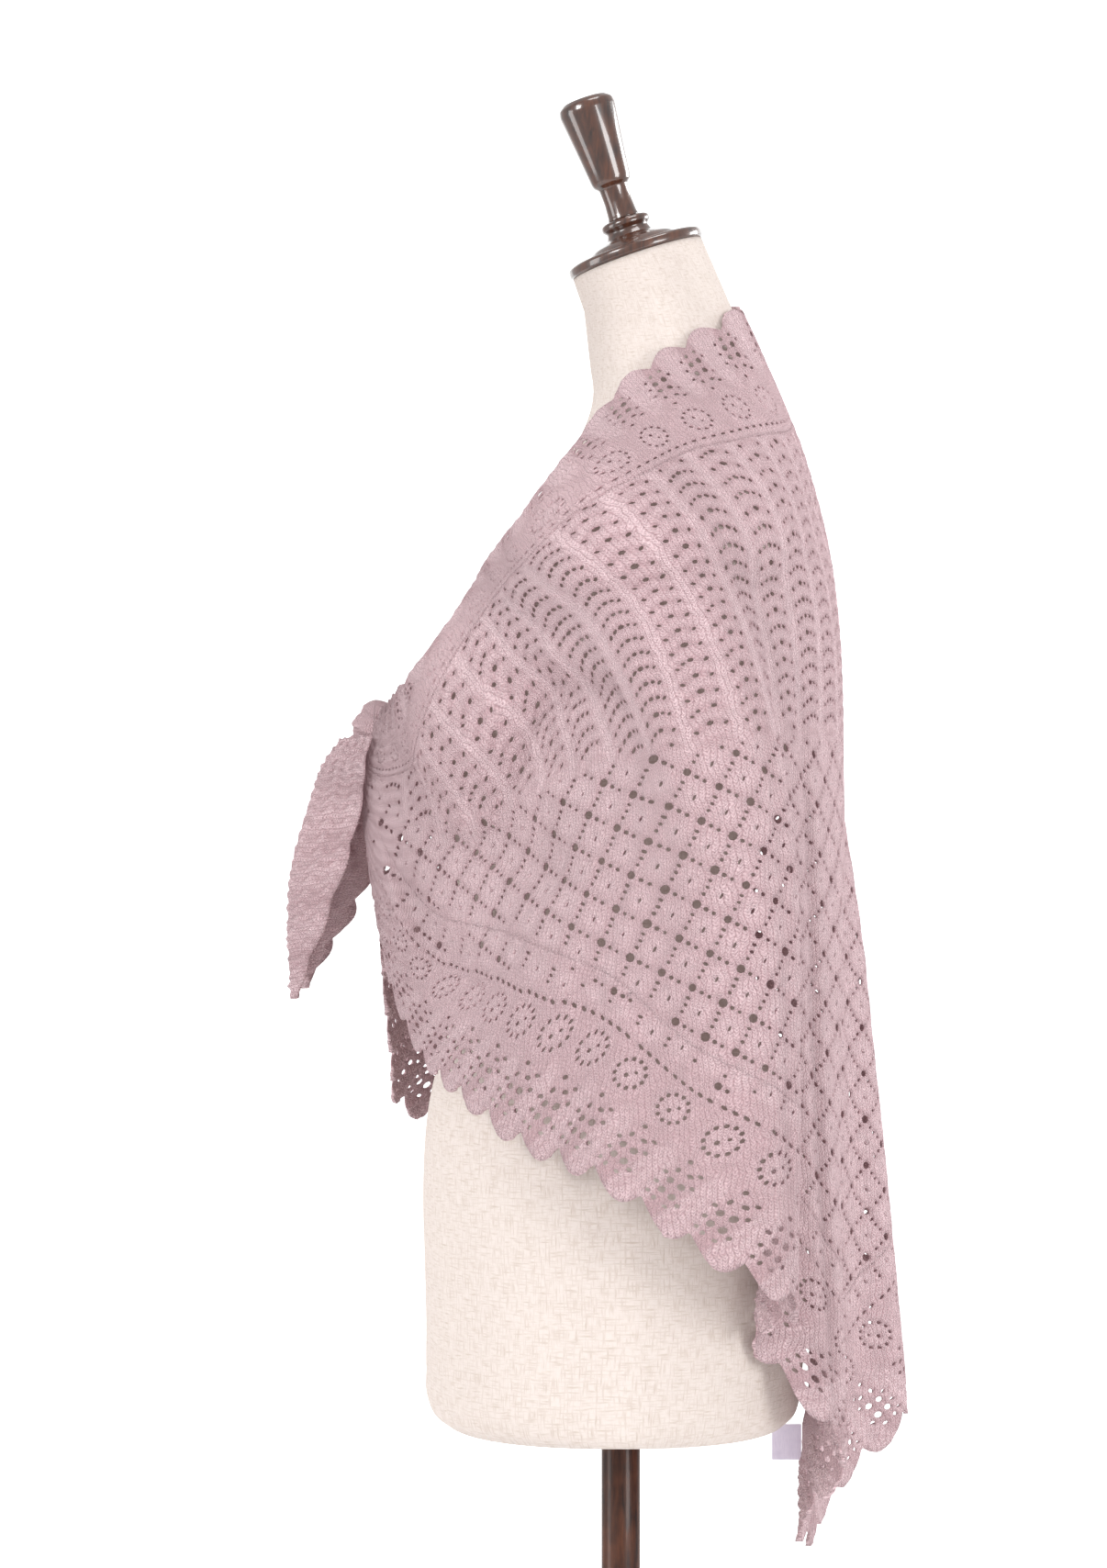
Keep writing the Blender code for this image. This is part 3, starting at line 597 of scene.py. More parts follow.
def as_given(u, v):
    """The flat's own u and v, for a grid laid along them."""
    return u, v


class HungLattice:
    """Even rows and columns of the lattice over the hanging cloth, found by least squares."""

    STEP = 8.0
    ROW_SLOPE = math.radians(24)

    def __init__(self):
        self.along = np.arange(-16.0, 1160.0, self.STEP)
        self.inward = np.arange(40.0, 620.0, self.STEP)
        along, inward = np.meshgrid(self.along, self.inward, indexing="ij")
        u, v = at_hem(along.ravel(), inward.ravel())
        points = hung(np.clip(u, -BODY_END, BODY_END), np.clip(v, 0, None)).reshape(*along.shape, 3)
        u, v = u.reshape(along.shape), v.reshape(along.shape)
        self.used = (u > -24) & (u < BODY_END + 6) & (v > 60)
        along_way = np.gradient(points, self.STEP, axis=0)
        inward_way = np.gradient(points, self.STEP, axis=1)
        normal = np.cross(along_way, inward_way)
        normal /= np.maximum(np.linalg.norm(normal, axis=2), 1e-9)[..., None]
        way = along_way / np.maximum(np.linalg.norm(along_way, axis=2), 1e-9)[..., None]
        share = np.clip((u - 150) / 90, 0, 1)[..., None]
        way = way * (1 - share) + share * (0, -math.cos(self.ROW_SLOPE), math.sin(self.ROW_SLOPE))
        way -= normal * (way * normal).sum(axis=2)[..., None]
        way /= np.maximum(np.linalg.norm(way, axis=2), 1e-9)[..., None]
        up = np.cross(normal, way)
        up *= np.sign((up * inward_way).sum(axis=2))[..., None]
        self.row = self.fitted(points, way)
        self.rise = self.fitted(points, up)
        seam = int((BORDER - self.inward[0]) / self.STEP)
        self.row -= self.row[2, seam]
        self.rise -= self.rise[:, seam][self.used[:, seam]].mean()

    def fitted(self, points, way):
        """A value at each grid point that grows as evenly as it can by the length moved that way."""
        wanted, weight = [], []
        for axis in (0, 1):
            low = [slice(None)] * 2
            high = [slice(None)] * 2
            low[axis], high[axis] = slice(None, -1), slice(1, None)
            low, high = tuple(low), tuple(high)
            between = (way[low] + way[high]) / 2
            wanted.append(((points[high] - points[low]) * between).sum(axis=2))
            weight.append(np.where(self.used[low] & self.used[high], 1.0, 1e-4))

        def spread(first, second):
            total = np.zeros(points.shape[:2])
            total[1:] += first
            total[:-1] -= first
            total[:, 1:] += second
            total[:, :-1] -= second
            return total

        value = np.zeros(points.shape[:2])
        left = spread(weight[0] * wanted[0], weight[1] * wanted[1])
        step = left.copy()
        size = (left**2).sum()
        for _ in range(900):
            pushed = spread(weight[0] * np.diff(step, axis=0), weight[1] * np.diff(step, axis=1))
            by = size / max((step * pushed).sum(), 1e-12)
            value += by * step
            left -= by * pushed
            after = (left**2).sum()
            step = left + after / size * step
            size = after
            if size < 1e-8:
                break
        return value

    def at(self, grid, along, inward):
        """A grid's value between its points."""
        row = (np.asarray(along, float) - self.along[0]) / self.STEP
        return read_grid(grid, row, (np.asarray(inward, float) - self.inward[0]) / self.STEP)

    def slopes(self, along, inward):
        """How the row and rise values grow along the hem and inward from it."""
        reach = 3.0
        columns = []
        for grid in (self.row, self.rise):
            over = self.at(grid, along + reach, inward) - self.at(grid, along - reach, inward)
            up = self.at(grid, along, inward + reach) - self.at(grid, along, inward - reach)
            columns.append((over / (2 * reach), up / (2 * reach)))
        return np.array(columns)

    def flat_hole(self, row, rise, long_half, tall_half):
        """An eyelet of the lattice put in the flat, or None outside the cloth."""
        away = np.where(self.used, (self.row - row) ** 2 + (self.rise - rise) ** 2, 1e9)
        nearest = np.unravel_index(np.argmin(away), away.shape)
        if away[nearest] > 144:
            return None
        place = np.array((self.along[nearest[0]], self.inward[nearest[1]]))
        for _ in range(4):
            missing = (row - float(self.at(self.row, *place)), rise - float(self.at(self.rise, *place)))
            place = place + np.clip(np.linalg.pinv(self.slopes(*place), rcond=0.05) @ missing, -8, 8)
        shape = np.linalg.pinv(self.slopes(*place), rcond=0.05) @ np.diag((long_half, tall_half))
        to_flat = np.array(((HEM_COS, -HEM_SIN), (-HEM_SIN, -HEM_COS)))
        sides, halves, _ = np.linalg.svd(to_flat @ shape)
        halves = np.clip(halves, 0.7, 3.2 * long_half)
        u, v = at_hem(*place)
        return u, v, halves[0], halves[1], math.atan2(sides[1, 0], sides[0, 0])


LATTICE = HungLattice()
BY_HEM = HungLengths(1160.0, 650.0, at_hem, (BORDER, BORDER + 180))
BY_TOP = HungLengths(BODY_END + 12, 720.0, as_given, (BORDER, BORDER + 130))


def hem_share(along):
    """How much of the hem's border its own pattern fills: the lattice runs on into the rest."""
    return np.interp(along, (0, 550, 900, 1146), (0.85, 0.85, 0.66, 0.60))


def hem_chart():
    """Eyelets of the border along the hem, turned into u and v, and the lattice's last rows."""
    chart = []
    for along, inward, long_half, tall_half, turn in border_chart(HEM_PITCH, 34):
        notch = (math.floor(along / HEM_PITCH) + 0.5) * HEM_PITCH
        share = float(hem_share(notch))
        wider = min(1.5, 1 / float(np.clip(BY_HEM.spot(BY_HEM.kept_first, notch, inward), 0.5, 1.0)))
        u, v = at_hem(notch + (along - notch) * min(wider, 1.3) * 0.94, inward * share)
        tall = tall_half * max(share, 0.8)
        chart.append((u, v, long_half * wider, tall, -math.atan2(HEM_SIN, HEM_COS) - turn))
    for hole in lattice_chart():
        inward, along = from_hem(hole[0], hole[1])
        if inward > BORDER * hem_share(along) + 2:
            chart.append(hole)
    return chart


@functools.cache
def lattice_chart():
    """Eyelets of the lattice wherever the cloth hangs, slightly uneven as hand knitting is."""
    chart = []
    for i in range(-8, 36):
        for j in range(-3, 62):
            for index, (back, down, long_half, tall_half) in enumerate(LATTICE_CELL):
                uneven = 1 + 0.10 * math.sin(37 * i + 11 * j + 5 * index)
                row = (j + 0.5) * LATTICE_ROW - back
                rise = (i + 0.55) * LATTICE_RISE - down
                hole = LATTICE.flat_hole(row, rise, long_half * uneven, tall_half * uneven)
                if hole is not None:
                    chart.append(hole)
    return chart


def body_chart():
    """Eyelets between the borders: the lattice along the hem and the arched columns above it."""
    chart = [hole for hole in lattice_chart() if hole[1] > lattice_start(hole[0]) + 2]
    for k in range(24):
        for i in range(50):
            for index, (aside, long_half, tall_half) in enumerate(ARCH):
                uneven = 1 + 0.12 * math.sin(23 * i + 7 * k + 3 * index)
                length = (k + 0.5) * RIB_PITCH + aside
                across = 5 + i * ARCH_PITCH + ARCH_BEND * aside**2 + 3 * (k % 2)
                turn = 2 * ARCH_BEND * aside
                size = (long_half * uneven, tall_half * uneven)
                hole = BY_TOP.grown((length, across, *size), turn, as_given)
                if hole[1] < lattice_start(hole[0]) - 4:
                    chart.append(hole)
    return chart


class Raster:
    """Marks which parts of the flat are taken, in small squares, from 5 mm outside its corner."""

    SQUARE = 0.5

    def __init__(self):
        self.taken = np.zeros((int(800 / self.SQUARE), int(860 / self.SQUARE)), bool)

    def squares(self, hole, grow):
        u, v, long_half, tall_half, turn = hole
        reach = max(long_half, tall_half) + grow
        low_u, low_v = (int((value - reach + 5) / self.SQUARE) for value in (u, v))
        size = int(2 * reach / self.SQUARE) + 2
        if low_u < 0 or low_v < 0:
            return None
        block = self.taken[low_u : low_u + size, low_v : low_v + size]
        away_u = (np.arange(block.shape[0])[:, None] + low_u + 0.5) * self.SQUARE - 5 - u
        away_v = (np.arange(block.shape[1])[None, :] + low_v + 0.5) * self.SQUARE - 5 - v
        long_way = away_u * math.cos(turn) + away_v * math.sin(turn)
        tall_way = away_v * math.cos(turn) - away_u * math.sin(turn)
        inside = (long_way / (long_half + grow)) ** 2 + (tall_way / (tall_half + grow)) ** 2 < 1
        return block, inside

    def free_for(self, hole, grow):
        found = self.squares(hole, grow)
        return found is not None and not (found[0] & found[1]).any()

    def mark(self, hole, grow):
        block, inside = self.squares(hole, grow)
        block |= inside

    def at(self, points):
        index = ((points + 5) / self.SQUARE).astype(int)
        index[:, 0] = np.clip(index[:, 0], 0, self.taken.shape[0] - 1)
        index[:, 1] = np.clip(index[:, 1], 0, self.taken.shape[1] - 1)
        return self.taken[index[:, 0], index[:, 1]]


def ring_of(hole):
    """Corners of an eyelet."""
    u, v, long_half, tall_half, turn = hole
    count = 10 if long_half + tall_half > 5 else 8 if long_half + tall_half > 3.4 else 6
    angles = np.linspace(0, 2 * np.pi, count, endpoint=False) + np.pi / count
    x, y = long_half * np.cos(angles), tall_half * np.sin(angles)
    cosine, sine = math.cos(turn), math.sin(turn)
    return np.stack([u + x * cosine - y * sine, v + x * sine + y * cosine], axis=1)


def holes_to_cut(chart, inside):
    """The chart's eyelets that lie inside the piece and clear of each other, the largest first."""
    raster = Raster()
    holes = []
    for hole in sorted(chart, key=lambda one: -one[2] * one[3]):
        reach = max(hole[2], hole[3]) + RIM
        within = inside(np.array([hole[0]]), np.array([hole[1]]), reach)[0]
        if within and raster.free_for(hole, RIM / 2):
            raster.mark(hole, RIM / 2)
            holes.append(hole)
    return holes


def filling(outline, inside, holes, spacing):
    """Even points between the outline and the eyelets."""
    near_holes = Raster()
    for hole in holes:
        near_holes.mark(hole, 0.42 * spacing)
    low, high = outline.min(axis=0), outline.max(axis=0)
    rows = np.arange(low[1], high[1], spacing * 0.87)
    columns = np.arange(low[0], high[0], spacing)
    grid_u, grid_v = np.meshgrid(columns, rows)
    grid_u = grid_u + (np.arange(len(rows)) % 2)[:, None] * spacing / 2
    fill = np.stack([grid_u.ravel(), grid_v.ravel()], axis=1)
    fill = fill[inside(fill[:, 0], fill[:, 1], 0.55 * spacing)]
    return fill[~near_holes.at(fill)]


def triangulated(rings, fill):
    """Points and triangles of closed rings and loose points, and the ring that each point is of."""
    edges = []
    loops = []
    first = 0
    for index, ring in enumerate(rings):
        edges += [(first + k, first + (k + 1) % len(ring)) for k in range(len(ring))]
        loops.append(np.full(len(ring), index))
        first += len(ring)
    loops = np.concatenate([*loops, np.full(len(fill), -1)])
    points = np.concatenate([*rings, fill])
    made = delaunay_2d_cdt([Vector(point) for point in points.tolist()], edges, [], 0, 1e-5)
    placed = np.array([tuple(point) for point in made[0]])
    origin = np.array([source[0] if source else -1 for source in made[3]])
    triangles = np.array([face for face in made[2] if len(face) == 3])
    return placed, triangles, np.where(origin >= 0, loops[origin], -1)


def cut_flat(outline, inside, chart, spacing):
    """Triangles of a flat piece: its outline, its eyelets and a filling of even points."""
    holes = holes_to_cut(chart, inside)
    rings = [outline, *(ring_of(hole) for hole in holes)]
    placed, triangles, loops = triangulated(rings, filling(outline, inside, holes, spacing))
    in_hole = (loops[triangles] == loops[triangles][:, :1]).all(axis=1) & (loops[triangles][:, 0] > 0)
    centre = placed[triangles].mean(axis=1)
    triangles = triangles[~in_hole & inside(centre[:, 0], centre[:, 1], 0.0)]
    sides = placed[triangles[:, 1:]] - placed[triangles[:, :1]]
    turns = sides[:, 0, 0] * sides[:, 1, 1] - sides[:, 0, 1] * sides[:, 1, 0]
    triangles[turns < 0] = triangles[turns < 0][:, ::-1]
    on_edge = (loops[triangles] == 0).all(axis=1)
    sides = placed[triangles] - placed[np.roll(triangles, 1, axis=1)]
    longest = np.linalg.norm(sides, axis=2).max(axis=1)
    triangles = triangles[(np.abs(turns) > 1e-6) & ~(on_edge & (longest > 2.2 * spacing))]
    used = np.unique(triangles)
    index = np.full(len(placed), -1)
    index[used] = np.arange(len(used))
    return placed[used], index[triangles], outline_area(outline)


def edge_line(first, last, count):
    """Points from first to last in the flat, leaving out the last."""
    share = np.linspace(0, 1, count, endpoint=False)[:, None]
    return np.array(first, float) * (1 - share) + np.array(last, float) * share


# Gap left at each seam, and the spacing of the points that fill each flat piece
SEAM = 0.03
BODY_SPACING = 2.9
NECK_EDGING_SPACING = 2.3
HEM_EDGING_SPACING = 2.4
TAIL_SPACING = 2.4


def cut_body():
    """The left half of the ground between the borders."""
    end_v = DEPTH - HEM_BORDER_V
    corners = [(SEAM, BORDER + SEAM), (BODY_END, BORDER + SEAM), (SEAM, end_v)]
    outline = np.concatenate(
        [
            edge_line(corners[0], corners[1], 240),
            edge_line(corners[1], corners[2], 330),
            edge_line(corners[2], corners[0], 200),
        ]
    )

    def inside(u, v, margin):
        inward, _ = from_hem(u, v)
        return (u > SEAM / 2 + margin) & (v > BORDER + margin) & (inward > BORDER + margin)

    return cut_flat(outline, inside, body_chart(), BODY_SPACING)


def cut_top_edging():
    """The left half of the border along the top edge."""
    edge_u = np.linspace(SEAM, BODY_END, 290)
    edge = np.stack([edge_u, scalloped(edge_u, TOP_SCALLOP)], axis=1)
    outline = np.concatenate(
        [
            edge,
            edge_line((BODY_END, 3), (BODY_END, BORDER - SEAM), 34)[1:],
            edge_line((BODY_END, BORDER - SEAM), (SEAM, BORDER - SEAM), 240),
            edge_line((SEAM, BORDER - SEAM), (SEAM, 0), 34),
        ]
    )

    def inside(u, v, margin):
        top = scalloped(u, TOP_SCALLOP)
        return (u > margin) & (u < BODY_END - margin) & (v > top + margin * 1.2) & (v < BORDER - margin)

    return cut_flat(outline, inside, top_chart(), NECK_EDGING_SPACING)


def cut_hem_edging():
    """The left half of the border along the hem."""
    edge_u = np.linspace(BODY_END, SEAM, 400)
    edge_v = hem_v(edge_u) - scalloped(edge_u, HEM_SCALLOP) / HEM_COS
    seam_v = hem_v(SEAM) - HEM_BORDER_V + SEAM
    seam_end = (BODY_END, hem_v(BODY_END) - HEM_BORDER_V + SEAM)
    outline = np.concatenate(
        [
            np.stack([edge_u, edge_v], axis=1),
            edge_line((SEAM, edge_v[-1]), (SEAM, seam_v), 48)[1:],
            edge_line((SEAM, seam_v), seam_end, 340),
            edge_line(seam_end, (BODY_END, edge_v[0]), 48),
        ]
    )

    def inside(u, v, margin):
        inward, _ = from_hem(u, v)
        edge = scalloped(u, HEM_SCALLOP)
        along = (u > margin) & (u < BODY_END - margin)
        return along & (inward > edge + margin * 1.2) & (inward < BORDER - margin)

    return cut_flat(outline, inside, hem_chart(), HEM_EDGING_SPACING)


def cut_tail():
    """The left end of the shawl past the knot: both borders and the point where they meet."""
    start, end = BODY_END + TAIL_START, TAIL_END
    edge_u = np.linspace(start, end, 90)
    top = TAIL_SCALLOP * scalloped(edge_u, TOP_SCALLOP)
    low = hem_v(edge_u) - TAIL_SCALLOP * scalloped(edge_u, HEM_SCALLOP) / HEM_COS
    thin = low - top < 5
    top = np.where(thin, hem_v(edge_u) / 2 - 2.5, top)
    low = np.where(thin, hem_v(edge_u) / 2 + 2.5, low)
    outline = np.concatenate(
        [
            np.stack([edge_u, top], axis=1),
            edge_line((end, top[-1]), (end, low[-1]), 2)[1:],
            np.stack([edge_u[::-1], low[::-1]], axis=1),
            edge_line((start, low[0]), (start, top[0]), 80)[1:],
        ]
    )

    def inside(u, v, margin):
        over = np.interp(u, edge_u, top)
        under = np.interp(u, edge_u, low)
        along = (u > start + margin) & (u < end - margin)
        return along & (v > over + margin * 1.2) & (v < under - margin * 1.5)

    chart = []
    for u, v, long_half, tall_half, turn in hem_chart():
        if u > start and v > 0.54 * hem_v(u):
            chart.append((u, v, 1.35 * long_half, 1.35 * tall_half, turn))
    return cut_flat(outline, inside, chart, TAIL_SPACING)


# Raised work of the lace

# Half width and height of the ribs, of the spines towards a scallop's tip and of a roundel's rim
RIB = (2.3, 2.8)
SPINE = (1.7, 1.8)
ROUNDEL_RIM = (1.6, 0.5)

# Heights of the waves between arches, of a lattice cell's dome and of a scallop at neck and hem
ARCH_WAVE = 0.8
LATTICE_DOME = 1.6
NECK_SCALLOP_WAVE = 3.0
HEM_SCALLOP_WAVE = 1.2

# Chevrons along the tails: width of a column, length of a stitch pair and height
CHEVRON_COLUMN = 15
CHEVRON_PITCH = 8.5
CHEVRON_HEIGHT = 0.9


def ridge(distance, width, height):
    return height * np.exp(-((distance / width) ** 2))


def border_relief(along, inward, pitch):
    """Spines that spread to each scallop's tip, and roundels slightly domed."""
    tip = along - np.round(along / pitch) * pitch
    notch = along - (np.floor(along / pitch) + 0.5) * pitch
    spread = np.clip((50 - inward) / 50, 0, 1)
    rays = sum(ridge(tip - side * (2.5 + 9 * spread), *SPINE) for side in (-1, 0, 1))
    wave = NECK_SCALLOP_WAVE if pitch == TOP_SCALLOP else HEM_SCALLOP_WAVE
    rays = rays + wave * np.cos(2 * np.pi * along / pitch) * np.clip((40 - inward) / 40, 0, 1)
    veins = 0.8 * np.sin(2 * np.pi * (inward + 0.8 * np.abs(tip)) / 7.0)
    veins *= np.clip((pitch * 0.36 - np.abs(tip)) / 4, 0, 1)
    height = (rays + veins) * np.clip((52 - inward) / 14, 0, 1)
    away = np.hypot(notch, inward - ROUNDEL_INWARD)
    height = height + ridge(away - 13.4, *ROUNDEL_RIM) + np.clip(1 - (away / 12) ** 2, 0, 1)
    height = height + ridge(inward - 84.6, 1.5, 0.6) + ridge(inward - 2.0, 2.2, 0.6)
    return height


@functools.cache
def tail_widths():
    """Hung distance across a tail, on a grid of places along it and shares of its width."""
    along = np.linspace(BODY_END, TAIL_END, 60)
    share = np.linspace(0, 1, 81)
    first, second = np.meshgrid(along, share, indexing="ij")
    second = second * hem_v(first)
    points = hang_tail(first.ravel(), second.ravel()).reshape(*first.shape, 3)
    steps = np.linalg.norm(np.diff(points, axis=1), axis=2)
    across = np.concatenate([np.zeros((len(along), 1)), np.cumsum(steps, axis=1)], axis=1)
    return along, share, across


def tail_across(u, v):
    """How far across the hanging tail a place of the flat lies."""
    along, share, across = tail_widths()
    row = (np.abs(u) - along[0]) / (along[1] - along[0])
    return read_grid(across, row, v / np.maximum(hem_v(u), 1) * (len(share) - 1))


def arched_columns(u, v):
    """Straight ribs with arches between them."""
    length = np.interp(u, BY_TOP.first, BY_TOP.lengths)
    across = BY_TOP.spot(BY_TOP.across, u, v)
    rib = length - np.round(length / RIB_PITCH) * RIB_PITCH
    column = np.floor(length / RIB_PITCH)
    middle = length - (column + 0.5) * RIB_PITCH
    phase = (across - 5 - ARCH_BEND * middle**2 - 3 * (column % 2)) / ARCH_PITCH
    return ridge(rib, *RIB) - ARCH_WAVE * np.cos(2 * np.pi * phase)


def domed_lattice(along, inward):
    """A low dome in each cell of the lattice."""
    row = np.mod(LATTICE.at(LATTICE.row, along, inward) / LATTICE_ROW - 0.5, 1)
    rise = np.mod(LATTICE.at(LATTICE.rise, along, inward) / LATTICE_RISE - 0.55, 1)
    return LATTICE_DOME * np.sin(np.pi * row) * np.sin(np.pi * rise)


def tail_chevrons(u, v):
    """Slanting stitches that meet in columns along a tail, with a line between the columns."""
    across = tail_across(u, v)
    aside = np.abs(across - np.round(across / CHEVRON_COLUMN) * CHEVRON_COLUMN)
    slanted = CHEVRON_HEIGHT * np.sin(2 * np.pi * (u + 0.9 * aside) / CHEVRON_PITCH)
    slanted = slanted * np.clip(aside / 2, 0.3, 1)
    return slanted + ridge(aside - CHEVRON_COLUMN / 2, 1.6, CHEVRON_HEIGHT)


def relief(u, v):
    """Raised work all over the shawl, in millimetres."""
    u = np.abs(u)
    inward, along = from_hem(u, v)
    share = hem_share(along)
    top = v < BORDER
    hem = (inward < BORDER * share) & ~top
    border = np.where(top, border_relief(u, v, TOP_SCALLOP), np.zeros_like(u))
    border = np.where(hem, border_relief(along, inward / share, HEM_PITCH), border)
    blend = np.clip((v - lattice_start(u)) / 10 + 0.5, 0, 1)
    ground = arched_columns(u, v) * (1 - blend) + domed_lattice(along, inward) * blend
    near_knot = np.clip((u - 450) / 70, 0, 1)
    bunched = 1.3 * np.sin(2 * np.pi * v / 13 + 0.8 * np.sin(u / 31)) * near_knot
    calm = np.where(u < BODY_END, np.clip((600 - u) / 60, 0.4, 1), 0.3)
    more = np.where(u < BODY_END, bunched, tail_chevrons(u, v))
    return np.where(top | hem, border, ground) * calm + more


# Materials

# Wool: shaded and lit stitches, the painted shade in the troughs of the raised work and in the gaps
# between stitches, and a faint painted glow
WOOL_SHADED = (0.76, 0.545, 0.575, 1)
WOOL_LIT = (0.88, 0.68, 0.705, 1)
WOOL_TROUGH_SHADE = (0.58, 0.385, 0.41, 1)
WOOL_GAP_SHADE = (0.40, 0.24, 0.265, 1)
WOOL_PAINTED_GLOW = (0.80, 0.42, 0.46, 1)

# Linen, its thicker threads and a faint painted glow that lightens its shade
LINEN = (0.625, 0.565, 0.53, 1)
LINEN_SLUB = (0.45, 0.37, 0.315, 1)
LINEN_PAINTED_GLOW = (0.85, 0.66, 0.60, 1)

WALNUT_DARK = (0.012, 0.004, 0.003, 1)
WALNUT_LIGHT = (0.085, 0.027, 0.012, 1)
SATIN = (0.80, 0.74, 0.88, 1)
SATIN_SHADED = (0.70, 0.64, 0.80, 1)
FLOOR_WHITE = (0.93, 0.93, 0.93, 1)
WALL_WHITE = (0.95, 0.95, 0.95, 1)


class Nodes:
    """Adds nodes to a tree, with values or links given by input name."""

    def __init__(self, tree):
        self.tree = tree

    def add(self, kind, inputs=(), **settings):
        node = self.tree.nodes.new(kind)
        for name, value in settings.items():
            setattr(node, name, value)
        for name, value in dict(inputs).items():
            socket = node.inputs[name]
            if isinstance(value, bpy.types.NodeSocket):
                self.tree.links.new(value, socket)
            else:
                socket.default_value = value
        return node

    def link(self, source, target):
        self.tree.links.new(source, target)

    def math(self, operation, first, second=0.0, third=0.0):
        node = self.add("ShaderNodeMath", {0: first, 1: second, 2: third}, operation=operation)
        return node.outputs[0]

    def vector(self, operation, first, second):
        inputs = {0: first, 1: second}
        return self.add("ShaderNodeVectorMath", inputs, operation=operation).outputs[0]

    def noise(self, coordinates, scale, detail, **others):
        inputs = {"Vector": coordinates, "Scale": scale, "Detail": detail, **others}
        return self.add("ShaderNodeTexNoise", inputs).outputs[0]

    def stretched(self, value, low, high):
        """A value drawn out so that low becomes 0 and high becomes 1."""
        inputs = {"Value": value, "From Min": low, "From Max": high}
        return self.add("ShaderNodeMapRange", inputs).outputs[0]

    def bump(self, height, distance, strength, shader):
        """Height in metres turned into the shader's normal."""
        inputs = {"Height": height, "Distance": distance, "Strength": strength}
        node = self.add("ShaderNodeBump", inputs)
        self.tree.links.new(node.outputs[0], shader.inputs["Normal"])

    def mix(self, factor, first, second, blend="MIX"):
        node = self.add("ShaderNodeMix", data_type="RGBA", blend_type=blend)
        for name, value in ((0, factor), (6, first), (7, second)):
            if isinstance(value, bpy.types.NodeSocket):
                self.tree.links.new(value, node.inputs[name])
            else:
                node.inputs[name].default_value = value
        return node.outputs[2]


def new_group(name, inputs, outputs):
    """A node group with its named sockets, and the nodes at both of its ends."""
    tree = bpy.data.node_groups.new(name, "ShaderNodeTree")
    for label, kind, value in inputs:
        socket = tree.interface.new_socket(label, in_out="INPUT", socket_type=kind)
        if value is not None:
            socket.default_value = value
    for label, kind in outputs:
        tree.interface.new_socket(label, in_out="OUTPUT", socket_type=kind)
    return Nodes(tree), tree.nodes.new("NodeGroupInput"), tree.nodes.new("NodeGroupOutput")


FLOAT, COLOUR, VECTOR = "NodeSocketFloat", "NodeSocketColor", "NodeSocketVector"


def knit_group():
    """Stitches of stockinette as height, and a shade for the colour: painted shade in the gaps between
    stitches, with random tone from the fuzz.
    """
    made, into, out = new_group(
        "knit_stitches",
        [("Coordinates", VECTOR, None), ("Stitch Width", FLOAT, 2.7), ("Stitch Height", FLOAT, 2.1)],
        [("Height", FLOAT), ("Shade", FLOAT)],
    )
    noise = made.add("ShaderNodeTexNoise", {"Vector": into.outputs[0], "Scale": 0.07, "Detail": 2.0})
    bent = made.vector("SUBTRACT", noise.outputs["Color"], (0.5, 0.5, 0.5))
    moved = made.vector("MULTIPLY", bent, (8.0, 8.0, 0.0))
    placed = made.vector("ADD", into.outputs[0], moved)
    split = made.add("ShaderNodeSeparateXYZ", {0: placed})
    across = made.math("DIVIDE", split.outputs[0], into.outputs[1])
    wale = made.math("ABSOLUTE", made.math("SUBTRACT", made.math("FRACT", across), 0.5))
    leaning = made.math("MULTIPLY", wale, 1.5)
    up = made.math("ADD", made.math("DIVIDE", split.outputs[1], into.outputs[2]), leaning)
    course = made.math("SINE", made.math("MULTIPLY", up, 2 * math.pi))
    between = made.math("SUBTRACT", 1.0, made.math("POWER", made.math("MULTIPLY", wale, 2.0), 4.0))
    strands = made.math("SINE", made.math("MULTIPLY", wale, 2 * math.pi))
    lift = made.math("ADD", made.math("MULTIPLY", course, 0.36), made.math("MULTIPLY", strands, 0.28))
    height = made.math("MULTIPLY", made.math("ADD", lift, 0.4), between)
    fuzz = made.noise(into.outputs[0], 0.6, 4.0, Roughness=0.8)
    rough = made.math("MULTIPLY_ADD", fuzz, 1.6, height)
    made.link(rough, out.inputs["Height"])
    shade = made.stretched(rough, 0.70, 1.45)
    made.link(shade, out.inputs["Shade"])
    return made.tree


def weave_group():
    """Plain linen: threads both ways, with thicker slubs here and there."""
    made, into, out = new_group(
        "linen_weave",
        [("Coordinates", VECTOR, None), ("Threads", FLOAT, 1.4), ("Slub", FLOAT, 0.8)],
        [("Height", FLOAT), ("Slubs", FLOAT)],
    )
    slubs = []
    threads = []
    for squeeze in ((0.10, 0.85, 0.10), (0.85, 0.10, 0.10)):
        sides = made.vector("MULTIPLY", into.outputs[0], squeeze)
        noise = made.noise(sides, 1.0, 3.0)
        slubs.append(made.stretched(noise, 0.48, 0.74))
    split = made.add("ShaderNodeSeparateXYZ", {0: into.outputs[0]})
    for axis in (0, 1):
        threads_along = made.math("MULTIPLY", split.outputs[axis], into.outputs[1])
        turn = made.math("MULTIPLY", threads_along, 2 * math.pi)
        threads.append(made.math("SINE", turn))
    slub = made.math("MULTIPLY", made.math("MAXIMUM", *slubs), into.outputs[2])
    weave = made.math("MULTIPLY", threads[0], threads[1])
    made.link(made.math("MULTIPLY_ADD", weave, 0.3, slub), out.inputs["Height"])
    made.link(slub, out.inputs["Slubs"])
    return made.tree


